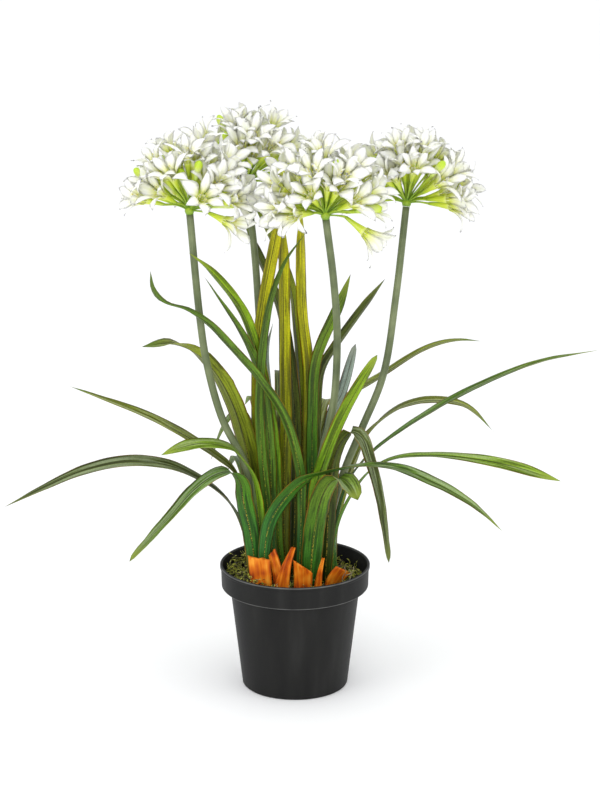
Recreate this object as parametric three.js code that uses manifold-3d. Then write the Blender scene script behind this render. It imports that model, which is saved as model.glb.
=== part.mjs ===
// A potted agapanthus (African lily): four white umbels on leafless scapes, a clump of arching strap leaves,
// papery dried leaf bases round the crown, mossy soil and a plastic nursery pot.
// Millimetres, +Z up. The origin is the middle of the pot's underside; the front of the plant looks along -Y.

import * as THREE from 'three';
import * as BufferGeometryUtils from 'three/addons/utils/BufferGeometryUtils.js';
import Module from 'manifold-3d';

const wasm = await Module();
wasm.setup();

// ---------------------------------------------------------------------------------------------------------
// Driving dimensions
// ---------------------------------------------------------------------------------------------------------

// Pot: a standard 17 cm nursery pot.
const RIM_DIAMETER = 170;
const POT_HEIGHT = 143;
const FOOT_DIAMETER = 120;
const COLLAR_HEIGHT = 27;
const COLLAR_STEP = 10;
const WALL = 2.2;
const POT_SIDES = 36;

// Soil: filled to a finger's width below the rim.
const SOIL_LEVEL = 122;
const SEAT_GAP = 0.3;

// How deep leaves, scapes and dried bases stand in the soil, and the play of the hole round each of them.
const ROOT_DEPTH = 10;
const HOLE_PLAY = 0.4;

// Flower stalks.
const SCAPE_DIAMETER = 8.4;
const SCAPE_SIDES = 8;

// Strap leaves.
const LEAF_THICKNESS = 1.5;
const LEAF_ROOT_SHARE = 0.62;
const LEAF_CREASE = 0.12;
const LEAF_STEP = 34;

// One floret: thin stalk, narrow tube and six spreading lobes.
const STALK_RADIUS = 0.9;
const TUBE_LENGTH = 25;
const THROAT_RADIUS = 5;
const THROAT_DEPTH = 4;
const LOBE_LENGTH = 33;
const LOBE_WIDTH = 10.5;
const LOBE_THICKNESS = 0.9;
const BUD_LENGTH = 30;
const BUD_RADIUS = 4.4;

const TURN = 2 * Math.PI;
const GOLDEN_ANGLE = Math.PI * (3 - Math.sqrt(5));
const UP = new THREE.Vector3(0, 0, 1);

// ---------------------------------------------------------------------------------------------------------
// Small helpers
// ---------------------------------------------------------------------------------------------------------

const vector = (point) => new THREE.Vector3(...point);

const radians = (degrees) => THREE.MathUtils.degToRad(degrees);

// A repeatable draw between -1 and 1 for repeat number `index` and property number `channel`.
function draw(index, channel) {
  const value = Math.sin(index * 12.9898 + channel * 78.233) * 43758.5453;
  return 2 * (value - Math.floor(value)) - 1;
}

// A geometry from a list of points and a list of corner triples.
function meshGeometry(points, faces) {
  const geometry = new THREE.BufferGeometry();
  const numbers = points.flatMap((point) => [point.x, point.y, point.z]);
  geometry.setAttribute('position', new THREE.Float32BufferAttribute(numbers, 3));
  geometry.setIndex(faces.flat());
  return geometry;
}

// Signed volume: negative when the faces look inwards.
function signedVolume(geometry) {
  const position = geometry.getAttribute('position');
  const index = geometry.getIndex();
  const corners = [new THREE.Vector3(), new THREE.Vector3(), new THREE.Vector3()];
  let volume = 0;
  for (let i = 0; i < index.count; i += 3) {
    corners.forEach((corner, k) => corner.fromBufferAttribute(position, index.getX(i + k)));
    volume += corners[0].dot(corners[1].clone().cross(corners[2])) / 6;
  }
  return volume;
}

// Merges the shared vertices of a closed surface and turns its faces outwards.
function closedGeometry(source) {
  const bare = source.clone();
  bare.deleteAttribute('normal');
  bare.deleteAttribute('uv');
  const merged = BufferGeometryUtils.mergeVertices(bare, 1e-4);
  const corners = Array.from(merged.getIndex().array);
  const kept = [];
  for (let i = 0; i < corners.length; i += 3) {
    const [a, b, c] = corners.slice(i, i + 3);
    if (a !== b && b !== c && c !== a) {
      kept.push(a, b, c);
    }
  }
  merged.setIndex(kept);
  if (signedVolume(merged) < 0) {
    for (let i = 0; i < kept.length; i += 3) {
      [kept[i + 1], kept[i + 2]] = [kept[i + 2], kept[i + 1]];
    }
    merged.setIndex(kept);
  }
  return merged;
}

function toSolid(source) {
  const geometry = closedGeometry(source);
  const vertProperties = Float32Array.from(geometry.getAttribute('position').array);
  const triVerts = Uint32Array.from(geometry.getIndex().array);
  return new wasm.Manifold(new wasm.Mesh({ numProp: 3, vertProperties, triVerts }));
}

function fromSolid(solid) {
  const mesh = solid.getMesh();
  const geometry = new THREE.BufferGeometry();
  geometry.setAttribute('position', new THREE.Float32BufferAttribute(mesh.vertProperties, 3));
  geometry.setIndex(Array.from(mesh.triVerts));
  return geometry;
}

// Joins closed surfaces into one body. Only its largest shell is kept, which fills any hollow that the
// joining seals off and drops any loose scrap.
function fuse(geometries) {
  const whole = geometries.map(toSolid).reduce((body, solid) => body.add(solid));
  return whole.decompose().reduce((largest, shell) => (shell.volume() > largest.volume() ? shell : largest));
}

function addPiece(group, name, geometry, material) {
  const mesh = new THREE.Mesh(closedGeometry(geometry), material);
  mesh.name = name;
  mesh.geometry.computeVertexNormals();
  group.add(mesh);
  return mesh;
}

// Joins neighbouring rings of equally many points into a closed skin. The second half of a ring runs back
// along the first, so its diagonals lean the other way: both faces of a thin, twisted blade are then split
// alike and stay apart. The ends are closed across from one half to the other.
function skinRings(rings) {
  const size = rings[0].length;
  const points = rings.flat();
  const faces = [];
  for (let row = 0; row + 1 < rings.length; row += 1) {
    for (let k = 0; k < size; k += 1) {
      const a = row * size + k;
      const b = row * size + ((k + 1) % size);
      if (k < size / 2) {
        faces.push([a, b, b + size], [a, b + size, a + size]);
      } else {
        faces.push([a, b, a + size], [b, b + size, a + size]);
      }
    }
  }
  const last = points.length - size;
  for (let k = 0; k + 1 < size / 2; k += 1) {
    const [a, b, c, d] = [k, k + 1, size - 2 - k, size - 1 - k];
    faces.push([a, c, b], [a, d, c]);
    faces.push([last + a, last + b, last + c], [last + a, last + c, last + d]);
  }
  return meshGeometry(points, faces);
}

// ---------------------------------------------------------------------------------------------------------
// Materials
// ---------------------------------------------------------------------------------------------------------

const matte = (color, roughness) => new THREE.MeshStandardMaterial({ color, roughness, metalness: 0 });

const materials = {
  pot: matte(0x2f3031, 0.6),
  soil: matte(0x4a4420, 0.95),
  scape: matte(0x6f7a52, 0.6),
  umbel: matte(0xf1f3e6, 0.55),
  sheath: matte(0xb8601c, 0.7),
  leaf_green: matte(0x3f7a35, 0.5),
  leaf_deep: matte(0x2c6038, 0.5),
  leaf_dark: matte(0x35502c, 0.5),
  leaf_bright: matte(0x6c9a2c, 0.5),
  leaf_olive: matte(0x66742a, 0.5),
  leaf_yellow: matte(0x8c8c12, 0.5),
  leaf_grey: matte(0x7d8f76, 0.55),
};

// ---------------------------------------------------------------------------------------------------------
// Pot and soil
// ---------------------------------------------------------------------------------------------------------

const RIM_RADIUS = RIM_DIAMETER / 2;
const FOOT_RADIUS = FOOT_DIAMETER / 2;
const COLLAR_FOOT = POT_HEIGHT - COLLAR_HEIGHT;
const BODY_TOP_RADIUS = RIM_RADIUS - COLLAR_STEP - 1.5;
const COLLAR_RADIUS = RIM_RADIUS - 1.2;

// Inner outline of the pot from the middle of its floor to its mouth, moved inwards by `clearance`.
function potInside(clearance) {
  return [
    [FOOT_RADIUS - WALL - clearance, WALL + 0.8 + clearance],
    [BODY_TOP_RADIUS - WALL - clearance, COLLAR_FOOT + WALL + clearance],
    [COLLAR_RADIUS - WALL - 1 - clearance, COLLAR_FOOT + WALL + clearance],
    [RIM_RADIUS - WALL - 0.6 - clearance, POT_HEIGHT],
  ];
}

// One turned wall: tapered body, a stepped-out collar and a small bead round the rim.
function potGeometry() {
  const inside = potInside(0);
  const outline = [
    [0, 0],
    [FOOT_RADIUS - 1.5, 0],
    [FOOT_RADIUS, 1.5],
    [BODY_TOP_RADIUS, COLLAR_FOOT],
    [COLLAR_RADIUS - 2.2, COLLAR_FOOT],
    [COLLAR_RADIUS - 0.6, COLLAR_FOOT + 1.6],
    [COLLAR_RADIUS, POT_HEIGHT - 4.5],
    [RIM_RADIUS, POT_HEIGHT - 3.5],
    [RIM_RADIUS, POT_HEIGHT - 0.8],
    [RIM_RADIUS - 0.8, POT_HEIGHT],
    ...inside.toReversed(),
    [0, inside[0][1]],
  ];
  const profile = outline.map(([radius, height]) => new THREE.Vector2(radius, height));
  return new THREE.LatheGeometry(profile, POT_SIDES).rotateX(Math.PI / 2);
}

// The filled soil, before the holes for roots are cut.
function soilGeometry() {
  const [floor, ledge, mouth, rim] = potInside(SEAT_GAP);
  const share = (SOIL_LEVEL - mouth[1]) / (rim[1] - mouth[1]);
  const reach = THREE.MathUtils.lerp(mouth[0], rim[0], share);
  const outline = [[0, floor[1]], floor, ledge, mouth, [reach, SOIL_LEVEL], [0, SOIL_LEVEL]];
  const profile = outline.map(([radius, height]) => new THREE.Vector2(radius, height));
  return new THREE.LatheGeometry(profile, POT_SIDES).rotateX(Math.PI / 2);
}

// ---------------------------------------------------------------------------------------------------------
// Scapes
// ---------------------------------------------------------------------------------------------------------

// Centre lines from soil level to the foot of the flower head.
const scapes = [
  { name: 'scape_1', path: [[-30, -15, 122], [-37, -17, 188], [-55, -23, 266], [-80, -29, 321],
    [-96, -36, 385], [-103, -43, 439], [-112, -60, 558]] },
  { name: 'scape_2', path: [[-26, 10, 122], [-27, 14, 189], [-34, 29, 303], [-45, 66, 485], [-54, 85, 560]] },
  { name: 'scape_3', path: [[21, -13, 122], [22, -19, 200], [30, -29, 280], [42, -39, 337],
    [46, -55, 418], [42, -71, 485], [33, -90, 559]] },
  { name: 'scape_4', path: [[35, 3, 122], [40, 7, 192], [55, 12, 247], [75, 18, 296], [99, 28, 356],
    [113, 43, 444], [124, 62, 541]] },
];

// A curve through the given points that starts in the soil below the first of them.
function rootedCurve(path) {
  const points = path.map(vector);
  const root = points[0].clone().addScaledVector(UP, -ROOT_DEPTH);
  return new THREE.CatmullRomCurve3([root, ...points]);
}

function scapeGeometry(scape, play) {
  const outline = new THREE.Shape();
  const radius = SCAPE_DIAMETER / 2 + play;
  for (let k = 0; k < SCAPE_SIDES; k += 1) {
    const angle = (k / SCAPE_SIDES) * TURN;
    const corner = [radius * Math.cos(angle), radius * Math.sin(angle)];
    if (k === 0) {
      outline.moveTo(...corner);
    } else {
      outline.lineTo(...corner);
    }
  }
  const extrudePath = rootedCurve(scape.path);
  return new THREE.ExtrudeGeometry(outline, { steps: 2 * scape.path.length, extrudePath });
}

// ---------------------------------------------------------------------------------------------------------
// Strap leaves
// ---------------------------------------------------------------------------------------------------------

// Each leaf: centre line from soil level to tip, greatest width, the plan angle of its width direction at the
// root and at the tip in degrees (0 faces the front), how far the blade rolls about its own line beyond the
// root and twists on in its outer half, the kind of tip and its colour.
const leaves = [
  // Front, low and broad.
  { path: [[-43, -34, 122], [-48, -42, 185], [-57, -52, 235], [-60, -57, 257], [-70, -61, 269],
    [-86, -65, 268], [-109, -73, 254], [-136, -84, 226], [-164, -97, 198], [-180, -105, 181]],
  width: 21, foot: 0.75, facing: [12, -62], roll: -15, tip: 'strap', colour: 'leaf_green' },
  { path: [[-33, -27, 122], [-38, -34, 176], [-45, -48, 253], [-54, -52, 276], [-70, -56, 295],
    [-101, -64, 303], [-124, -69, 300], [-146, -74, 293]],
  width: 16, facing: [5, -60], roll: -30, tip: 'lance', colour: 'leaf_green' },
  { path: [[-34, -41, 122], [-33, -47, 180], [-24, -52, 216], [9, -60, 258], [39, -65, 271],
    [74, -69, 279], [110, -71, 277], [152, -75, 262], [192, -79, 240], [228, -85, 209]],
  width: 19, facing: [-5, 75], roll: 0, twist: 30, tip: 'point', colour: 'leaf_green' },
  { path: [[17, -39, 122], [20, -50, 181], [26, -61, 226], [33, -68, 251], [42, -72, 264],
    [53, -76, 266], [61, -79, 260], [69, -85, 245]],
  width: 24, foot: 0.85, facing: [0, 15], roll: 0, tip: 'blunt', colour: 'leaf_green' },
  { path: [[4, -33, 122], [6, -38, 177], [7, -43, 220], [6, -46, 262], [-10, -50, 326], [-36, -55, 371],
    [-63, -60, 405], [-94, -64, 439], [-117, -68, 455], [-142, -72, 465], [-152, -75, 480], [-154, -78, 500]],
  width: 12, facing: [-8, -30], roll: 0, tip: 'lance', colour: 'leaf_deep' },
  // Left.
  { path: [[-50, -24, 122], [-53, -26, 165], [-73, -30, 224], [-121, -33, 261], [-149, -35, 271],
    [-188, -37, 274], [-232, -39, 265], [-277, -42, 246], [-322, -45, 224]],
  width: 17, facing: [-60, -72], roll: -32, tip: 'point', colour: 'leaf_dark' },
  { path: [[-43, -15, 122], [-48, -17, 176], [-67, -21, 255], [-88, -22, 276], [-154, -25, 319],
    [-220, -29, 348], [-248, -30, 359]],
  width: 16, facing: [-70, -75], roll: -30, tip: 'point', colour: 'leaf_olive' },
  { path: [[-41, -5, 122], [-44, -6, 172], [-47, -6, 235], [-56, -7, 290], [-71, -9, 338], [-89, -10, 371],
    [-110, -10, 392], [-135, -11, 402], [-168, -12, 399]],
  width: 26, foot: 0.5, facing: [0, -30], roll: -10, tip: 'lance', colour: 'leaf_olive' },
  { path: [[-13, -12, 122], [-18, -14, 175], [-23, -17, 285], [-32, -23, 351], [-54, -42, 441],
    [-89, -58, 494], [-113, -70, 518]],
  width: 13, facing: [0, -25], roll: 0, tip: 'lance', colour: 'leaf_bright' },
  { path: [[-20, -20, 122], [-25, -22, 177], [-28, -25, 285], [-36, -30, 362], [-51, -42, 410],
    [-97, -60, 489]],
  width: 13, facing: [0, -25], roll: 0, tip: 'point', colour: 'leaf_deep' },
  { path: [[-34, 14, 122], [-38, 17, 164], [-41, 21, 246], [-48, 25, 298], [-58, 26, 313],
    [-69, 26, 311], [-82, 28, 292], [-95, 30, 256]],
  width: 13, facing: [-20, -75], roll: -20, tip: 'point', colour: 'leaf_green' },
  // Upright centre.
  { path: [[-19, -30, 122], [-26, -33, 180], [-38, -37, 307], [-38, -40, 363], [-33, -38, 419],
    [-25, -28, 459], [-11, -12, 494], [13, 0, 526]],
  width: 11, facing: [0, 25], roll: 0, tip: 'point', colour: 'leaf_deep' },
  { path: [[-27, -4, 122], [-33, -1, 171], [-40, 3, 253], [-42, 4, 334], [-39, 6, 414], [-13, 8, 561]],
    width: 14, facing: [12, -25], roll: 0, tip: 'lance', colour: 'leaf_yellow' },
  { path: [[-9, -9, 122], [-12, -6, 172], [-11, 2, 305], [-12, 7, 386], [-13, 16, 534]],
    width: 15, facing: [-20, -32], roll: 0, tip: 'lance', colour: 'leaf_yellow' },
  { path: [[13, 6, 122], [12, 7, 168], [16, 11, 285], [16, 13, 366], [9, 15, 432], [7, 18, 550]],
    width: 14, facing: [-4, 40], roll: 0, tip: 'lance', colour: 'leaf_yellow' },
  { path: [[5, 14, 122], [8, 16, 165], [8, 29, 303], [2, 41, 399], [-6, 49, 458], [-50, 64, 554]],
    width: 14, facing: [-32, -50], roll: 0, tip: 'lance', colour: 'leaf_olive' },
  { path: [[-3, 2, 122], [-1, 4, 169], [1, 17, 284], [-4, 31, 361], [-17, 50, 426], [-59, 96, 520]],
    width: 14, facing: [-10, -50], roll: 0, tip: 'lance', colour: 'leaf_dark' },
  { path: [[18, -7, 122], [19, -4, 170], [20, 3, 319], [25, 12, 381], [50, 26, 438], [62, 32, 471]],
    width: 13, facing: [0, 20], roll: 0, tip: 'lance', colour: 'leaf_green' },
  { path: [[25, 5, 122], [25, 8, 167], [25, 25, 316], [30, 31, 361], [46, 35, 388], [101, 48, 462]],
    width: 14, facing: [25, 40], roll: 0, tip: 'lance', colour: 'leaf_olive' },
  { path: [[26, 15, 122], [32, 18, 163], [41, 28, 306], [54, 31, 338], [68, 36, 390]],
    width: 13, facing: [0, 20], roll: 0, tip: 'blunt', colour: 'leaf_grey' },
  { path: [[18, -28, 122], [22, -35, 176], [23, -46, 244], [34, -53, 286], [54, -64, 339], [89, -80, 408]],
    width: 15, facing: [0, 20], roll: 0, tip: 'blunt', colour: 'leaf_bright' },
  { path: [[-18, -1, 122], [-23, 1, 170], [-30, 8, 332], [-31, 11, 389], [-24, 12, 421]],
    width: 12, facing: [0, 5], roll: 0, tip: 'point', colour: 'leaf_grey' },
  { path: [[-5, 24, 122], [-5, 25, 162], [-4, 27, 280], [-3, 28, 314]],
    width: 12, facing: [0, 5], roll: 0, tip: 'blunt', colour: 'leaf_yellow' },
  // Right.
  { path: [[29, 24, 122], [26, 29, 184], [31, 36, 277], [46, 40, 314], [96, 45, 349], [152, 50, 383],
    [184, 53, 390], [211, 55, 388]],
  width: 16, facing: [20, 68], roll: 35, tip: 'point', colour: 'leaf_olive' },
  { path: [[47, -2, 122], [46, -6, 184], [61, -9, 244], [84, -12, 275], [155, -17, 329], [215, -22, 363],
    [269, -26, 386], [332, -30, 400]],
  width: 13, facing: [55, 78], roll: 25, tip: 'point', colour: 'leaf_green' },
  { path: [[43, 11, 122], [43, 17, 178], [58, 23, 233], [83, 28, 287], [105, 31, 308], [132, 33, 321],
    [163, 35, 324], [193, 37, 317], [225, 38, 287]],
  width: 19, facing: [15, 68], roll: 20, tip: 'point', colour: 'leaf_olive' },
  { path: [[44, -13, 122], [44, -14, 169], [56, -15, 213], [85, -16, 258], [111, -16, 271],
    [150, -17, 275], [195, -18, 272], [240, -19, 264], [297, -20, 246]],
  width: 13, facing: [60, 62], roll: 10, twist: 40, tip: 'lance', colour: 'leaf_green' },
  { path: [[34, -22, 122], [36, -28, 176], [38, -36, 232], [42, -44, 276], [51, -48, 301], [62, -49, 312],
    [73, -48, 306], [82, -49, 281], [94, -54, 233], [104, -66, 166]],
  width: 20, facing: [0, 40], roll: 0, tip: 'strap', colour: 'leaf_deep' },
  // Back.
  { path: [[-24, 32, 122], [-28, 48, 190], [-36, 84, 268], [-48, 132, 300], [-60, 186, 276]],
    width: 18, facing: [185, 205], roll: 0, tip: 'point', colour: 'leaf_green' },
  { path: [[-10, 38, 122], [-12, 54, 190], [-14, 94, 276], [-18, 150, 324], [-24, 215, 304]],
    width: 17, facing: [180, 185], roll: 0, tip: 'point', colour: 'leaf_dark' },
  { path: [[12, 34, 122], [16, 50, 200], [24, 88, 274], [34, 134, 296], [44, 190, 270]],
    width: 19, facing: [175, 165], roll: 0, tip: 'point', colour: 'leaf_olive' },
  { path: [[30, 38, 122], [34, 56, 180], [42, 94, 236], [50, 140, 250], [58, 190, 222]],
    width: 17, facing: [170, 155], roll: 0, tip: 'point', colour: 'leaf_green' },
  { path: [[-42, 30, 122], [-46, 50, 172], [-56, 88, 218], [-68, 134, 228], [-80, 184, 196]],
    width: 17, facing: [190, 215], roll: 0, tip: 'point', colour: 'leaf_deep' },
  { path: [[2, 46, 122], [2, 62, 180], [4, 100, 240], [6, 150, 250], [8, 205, 205]],
    width: 20, facing: [180, 180], roll: 0, tip: 'blunt', colour: 'leaf_bright' },
];

// Where each kind of tip starts to narrow, as a share of the leaf's length, and how full its shoulders are.
const tips = {
  lance: { start: 0.88, narrow: (x) => 1 - x ** 1.6 },
  point: { start: 0.58, narrow: (x) => 1 - x ** 1.8 },
  strap: { start: 0.4, narrow: (x) => (1 - 0.6 * x) * Math.sqrt(1 - x ** 8) },
  blunt: { start: 0.6, narrow: (x) => Math.sqrt(1 - x ** 5) },
};

// Width of a leaf at share `s` of its length: narrow root, full middle and the tip of its kind.
function leafWidth(leaf, s) {
  const foot = leaf.foot ?? LEAF_ROOT_SHARE;
  const body = foot + (1 - foot) * THREE.MathUtils.smoothstep(s, 0, 0.4);
  const { start, narrow } = tips[leaf.tip];
  return leaf.width * body * narrow(Math.min(Math.max((s - start) / (1 - start), 0), 1));
}

// Stations along a leaf: centre point, direction of its width, direction of its upper side and length share.
// The short buried span runs straight on into the first piece above the soil, with no station between them.
function leafStations(leaf) {
  const curve = rootedCurve(leaf.path);
  const spans = leaf.path.length;
  const parameters = [0];
  for (let span = 1; span < spans; span += 1) {
    const start = curve.getPoint(span / spans);
    const pieces = Math.max(1, Math.round(start.distanceTo(curve.getPoint((span + 1) / spans)) / LEAF_STEP));
    for (let k = 1; k <= pieces; k += 1) {
      parameters.push((span + k / pieces) / spans);
    }
  }
  if (leaf.tip === 'blunt') {
    parameters.splice(-1, 0, 1 - 0.35 / spans, 1 - 0.1 / spans);
  }
  const centres = parameters.map((t) => curve.getPoint(t));
  const lengths = [0];
  for (let i = 1; i < centres.length; i += 1) {
    lengths.push(lengths[i - 1] + centres[i].distanceTo(centres[i - 1]));
  }
  return parameters.map((t, i) => {
    const share = lengths[i] / lengths.at(-1);
    const angle = radians(THREE.MathUtils.lerp(...leaf.facing, THREE.MathUtils.smoothstep(share, 0, 1)));
    const along = curve.getTangent(t);
    const side = new THREE.Vector3(Math.cos(angle), Math.sin(angle), 0);
    side.addScaledVector(along, -side.dot(along)).normalize();
    const roll = leaf.roll * THREE.MathUtils.smoothstep(share, 0.1, 0.6);
    const twist = (leaf.twist ?? 0) * THREE.MathUtils.smoothstep(share, 0.6, 0.85);
    side.applyAxisAngle(along, radians(roll + twist));
    return { centre: centres[i], side, upper: along.clone().cross(side), share };
  });
}

// A thin blade with a crease along its middle: two sharp edges, raised a little above the midrib.
function leafGeometry(leaf, play) {
  const stations = leafStations(leaf);
  const tip = stations.pop().centre;
  const rings = stations.map(({ centre, side, upper, share }) => {
    const half = leafWidth(leaf, share) / 2 + play;
    const lift = 2 * half * LEAF_CREASE;
    const rib = LEAF_THICKNESS / 2 + play;
    return [
      centre.clone().addScaledVector(side, -half).addScaledVector(upper, lift),
      centre.clone().addScaledVector(upper, -rib),
      centre.clone().addScaledVector(side, half).addScaledVector(upper, lift),
      centre.clone().addScaledVector(upper, rib),
    ];
  });
  rings.push(rings[0].map(() => tip));
  return skinRings(rings);
}

// ---------------------------------------------------------------------------------------------------------
// Dried leaf bases
// ---------------------------------------------------------------------------------------------------------

// Papery remains of old leaves, each a curled strip standing round the crown: the middle of its foot in plan,
// the plan angle it faces, radius of its curl, width at foot and top, height, outward lean and sideways skew
// of its top, and the slant of the cut at its top.
const DRIED_THICKNESS = 1;
const driedBases = [
  { name: 'dried_base_1', foot: [-38, -51], angle: -95, radius: 26, width: [25, 22], height: 50, lean: 3,
    skew: -2, slant: 0.04 },
  { name: 'dried_base_2', foot: [-17, -49], angle: -104, radius: 22, width: [16, 5], height: 56, lean: 1,
    skew: -8, slant: 0.1 },
  { name: 'dried_base_3', foot: [-15, -53], angle: -90, radius: 30, width: [19, 3], height: 63, lean: 2,
    skew: 12, slant: 0 },
  { name: 'dried_base_4', foot: [9, -52], angle: -90, radius: 22, width: [21, 16], height: 42, lean: 6,
    skew: 0, slant: -0.18 },
  { name: 'dried_base_5', foot: [25, -50], angle: -80, radius: 26, width: [11, 3], height: 49, lean: 3,
    skew: 5, slant: 0 },
  { name: 'dried_base_6', foot: [42, -36], angle: -55, radius: 20, width: [22, 20], height: 30, lean: 10,
    skew: 8, slant: -0.3 },
];

// A point of the strip: `across` runs from -1 to 1, `up` from 0 at the foot to 1, `out` is off its middle.
function driedPoint(base, across, up, out) {
  const width = THREE.MathUtils.lerp(...base.width, up);
  const facing = radians(base.angle);
  const turn = facing + ((across * width) / 2 + base.skew * up * up) / base.radius;
  const radius = base.radius + out + base.lean * up * up;
  const height = base.height * up * (1 + base.slant * across);
  return new THREE.Vector3(
    base.foot[0] - base.radius * Math.cos(facing) + radius * Math.cos(turn),
    base.foot[1] - base.radius * Math.sin(facing) + radius * Math.sin(turn),
    SOIL_LEVEL - ROOT_DEPTH / 2 + height,
  );
}

function driedGeometry(base, play) {
  const half = DRIED_THICKNESS / 2 + play;
  const stretch = 1 + (2 * play) / base.width[0];
  const columns = [-1, -0.33, 0.33, 1].map((across) => across * stretch);
  const rows = [0, 0.3, 0.65, 1];
  const rings = rows.map((up) => [
    ...columns.map((across) => driedPoint(base, across, up, half)),
    ...columns.toReversed().map((across) => driedPoint(base, across, up, -half)),
  ]);
  return skinRings(rings);
}

// ---------------------------------------------------------------------------------------------------------
// Umbels
// ---------------------------------------------------------------------------------------------------------

// Each head: florets by a golden-angle rule over a ball, `reach` from the hub to the lobes' tips, a shift of
// the ball off the hub, and a few stalks placed by hand: azimuth, elevation and droop in degrees and what
// they carry. LOWEST is the furthest that the rule's stalks lean from upright. At the front they part and
// stand PARTING of the way closer to upright, so that the hub shows there.
const LOWEST = radians(84);
const PARTING = 0.65;
const umbels = [
  { name: 'umbel_1', scape: 0, reach: 72, shift: [0, -4, 15], florets: 22, spin: 0.3, seed: 11,
    handPlaced: [[-72, 24, 0, 'floret'], [-38, 2, 16, 'floret']] },
  { name: 'umbel_2', scape: 1, reach: 72, shift: [2, 4, 20], florets: 22, spin: 1.4, seed: 23,
    handPlaced: [[-30, 6, 12, 'floret'], [20, -2, 8, 'floret']] },
  { name: 'umbel_3', scape: 2, reach: 68, shift: [-3, -4, 20], florets: 22, spin: 2.2, seed: 37,
    handPlaced: [[-10, -3, 34, 'floret'], [-128, 14, 8, 'floret'], [-14, 10, 0, 'bud']] },
  { name: 'umbel_4', scape: 3, reach: 71, shift: [6, 0, 17], florets: 22, spin: 0.9, seed: 41,
    handPlaced: [[-18, 2, 4, 'floret'], [198, 10, 0, 'floret'], [172, 42, 0, 'bud']] },
];

// Two directions square to `axis`, the first as near as can be to `hint`.
function squareTo(axis, hint) {
  const first = hint.clone().addScaledVector(axis, -hint.dot(axis)).normalize();
  return [first, axis.clone().cross(first)];
}

function ring(centre, axis, hint, radius, count, offset = 0) {
  const [first, second] = squareTo(axis, hint);
  return Array.from({ length: count }, (_, k) => {
    const angle = ((k + offset) / count) * TURN;
    return centre.clone()
      .addScaledVector(first, radius * Math.cos(angle))
      .addScaledVector(second, radius * Math.sin(angle));
  });
}

// One open floret as a single closed skin: stalk, tube, six lobes and the funnel between them.
function floretGeometry(floret) {
  const { hub, stalkAxis, axis, stalk, lobe, spin } = floret;
  const hint = new THREE.Vector3(Math.cos(spin), Math.sin(spin), 0.37);
  const joint = hub.clone().addScaledVector(stalkAxis, stalk);
  const throat = joint.clone().addScaledVector(axis, TUBE_LENGTH);
  const [first, second] = squareTo(axis, hint);
  const points = [
    ...ring(hub, stalkAxis, hint, STALK_RADIUS, 3),
    ...ring(joint, axis, hint, STALK_RADIUS * 1.7, 3),
    ...ring(throat, axis, hint, THROAT_RADIUS, 6),
  ];
  const faces = [[0, 2, 1]];
  const notch = (k) => 6 + (k % 6);
  for (let k = 0; k < 3; k += 1) {
    const beside = (k + 1) % 3;
    const [here, next] = [3 + k, 3 + beside];
    faces.push([k, beside, next], [k, next, here]);
    faces.push([here, notch(2 * k + 1), notch(2 * k)]);
    faces.push([here, next, notch(2 * k + 1)]);
    faces.push([next, notch(2 * k + 2), notch(2 * k + 1)]);
  }
  const funnel = points.length;
  points.push(throat.clone().addScaledVector(axis, -THROAT_DEPTH));
  for (let k = 0; k < 6; k += 1) {
    const angle = ((k + 0.5) / 6) * TURN;
    const out = first.clone().multiplyScalar(Math.cos(angle)).addScaledVector(second, Math.sin(angle));
    const side = axis.clone().cross(out);
    const inner = k % 2;
    const spread = lobe * (inner ? 0.62 : 0.52);
    const rise = lobe * (inner ? 0.62 : 0.76);
    const width = LOBE_WIDTH * (inner ? 1 : 0.82);
    const middle = throat.clone().addScaledVector(axis, rise * 0.66)
      .addScaledVector(out, THROAT_RADIUS + spread * 0.4);
    const tip = throat.clone().addScaledVector(axis, rise).addScaledVector(out, THROAT_RADIUS + spread);
    const away = out.clone().multiplyScalar(rise).addScaledVector(axis, -spread * 0.9).normalize();
    const m = points.length;
    points.push(
      middle.clone().addScaledVector(side, -width / 2).addScaledVector(away, -0.8),
      middle.clone().addScaledVector(side, width / 2).addScaledVector(away, -0.8),
      middle.clone().addScaledVector(away, LOBE_THICKNESS / 2),
      middle.clone().addScaledVector(away, -LOBE_THICKNESS / 2),
      tip,
    );
    const [left, right] = [notch(k), notch(k + 1)];
    const [ml, mr, back, front, end] = [m, m + 1, m + 2, m + 3, m + 4];
    faces.push([left, back, ml], [left, right, back], [right, mr, back], [ml, back, end], [back, mr, end]);
    faces.push([left, ml, front], [right, front, mr], [ml, end, front], [front, end, mr]);
    faces.push([left, front, funnel], [front, right, funnel]);
  }
  return meshGeometry(points, faces);
}

// One closed club-shaped bud on its stalk.
function budGeometry({ hub, stalkAxis, axis, stalk, spin }) {
  const hint = new THREE.Vector3(Math.cos(spin), Math.sin(spin), 0.37);
  const joint = hub.clone().addScaledVector(stalkAxis, stalk);
  const station = (share) => joint.clone().addScaledVector(axis, BUD_LENGTH * share);
  return skinRings([
    ring(hub, stalkAxis, hint, STALK_RADIUS, 4),
    ring(joint, axis, hint, STALK_RADIUS * 1.4, 4),
    ring(station(0.35), axis, hint, BUD_RADIUS * 0.55, 4),
    ring(station(0.78), axis, hint, BUD_RADIUS, 4),
    ring(station(1), axis, hint, BUD_RADIUS * 0.25, 4),
  ]);
}

// The swollen end of the scape that all stalks spring from, its flat foot on the scape's end.
function hubGeometry(foot, along) {
  const outline = [[0, 0], [SCAPE_DIAMETER / 2, 0], [SCAPE_DIAMETER / 2 + 1, 3], [3.6, 7.5], [0, 9]];
  const profile = outline.map(([radius, height]) => new THREE.Vector2(radius, height));
  const geometry = new THREE.LatheGeometry(profile, SCAPE_SIDES).rotateX(Math.PI / 2);
  geometry.applyQuaternion(new THREE.Quaternion().setFromUnitVectors(UP, along));
  return geometry.translate(foot.x, foot.y, foot.z);
}

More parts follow.
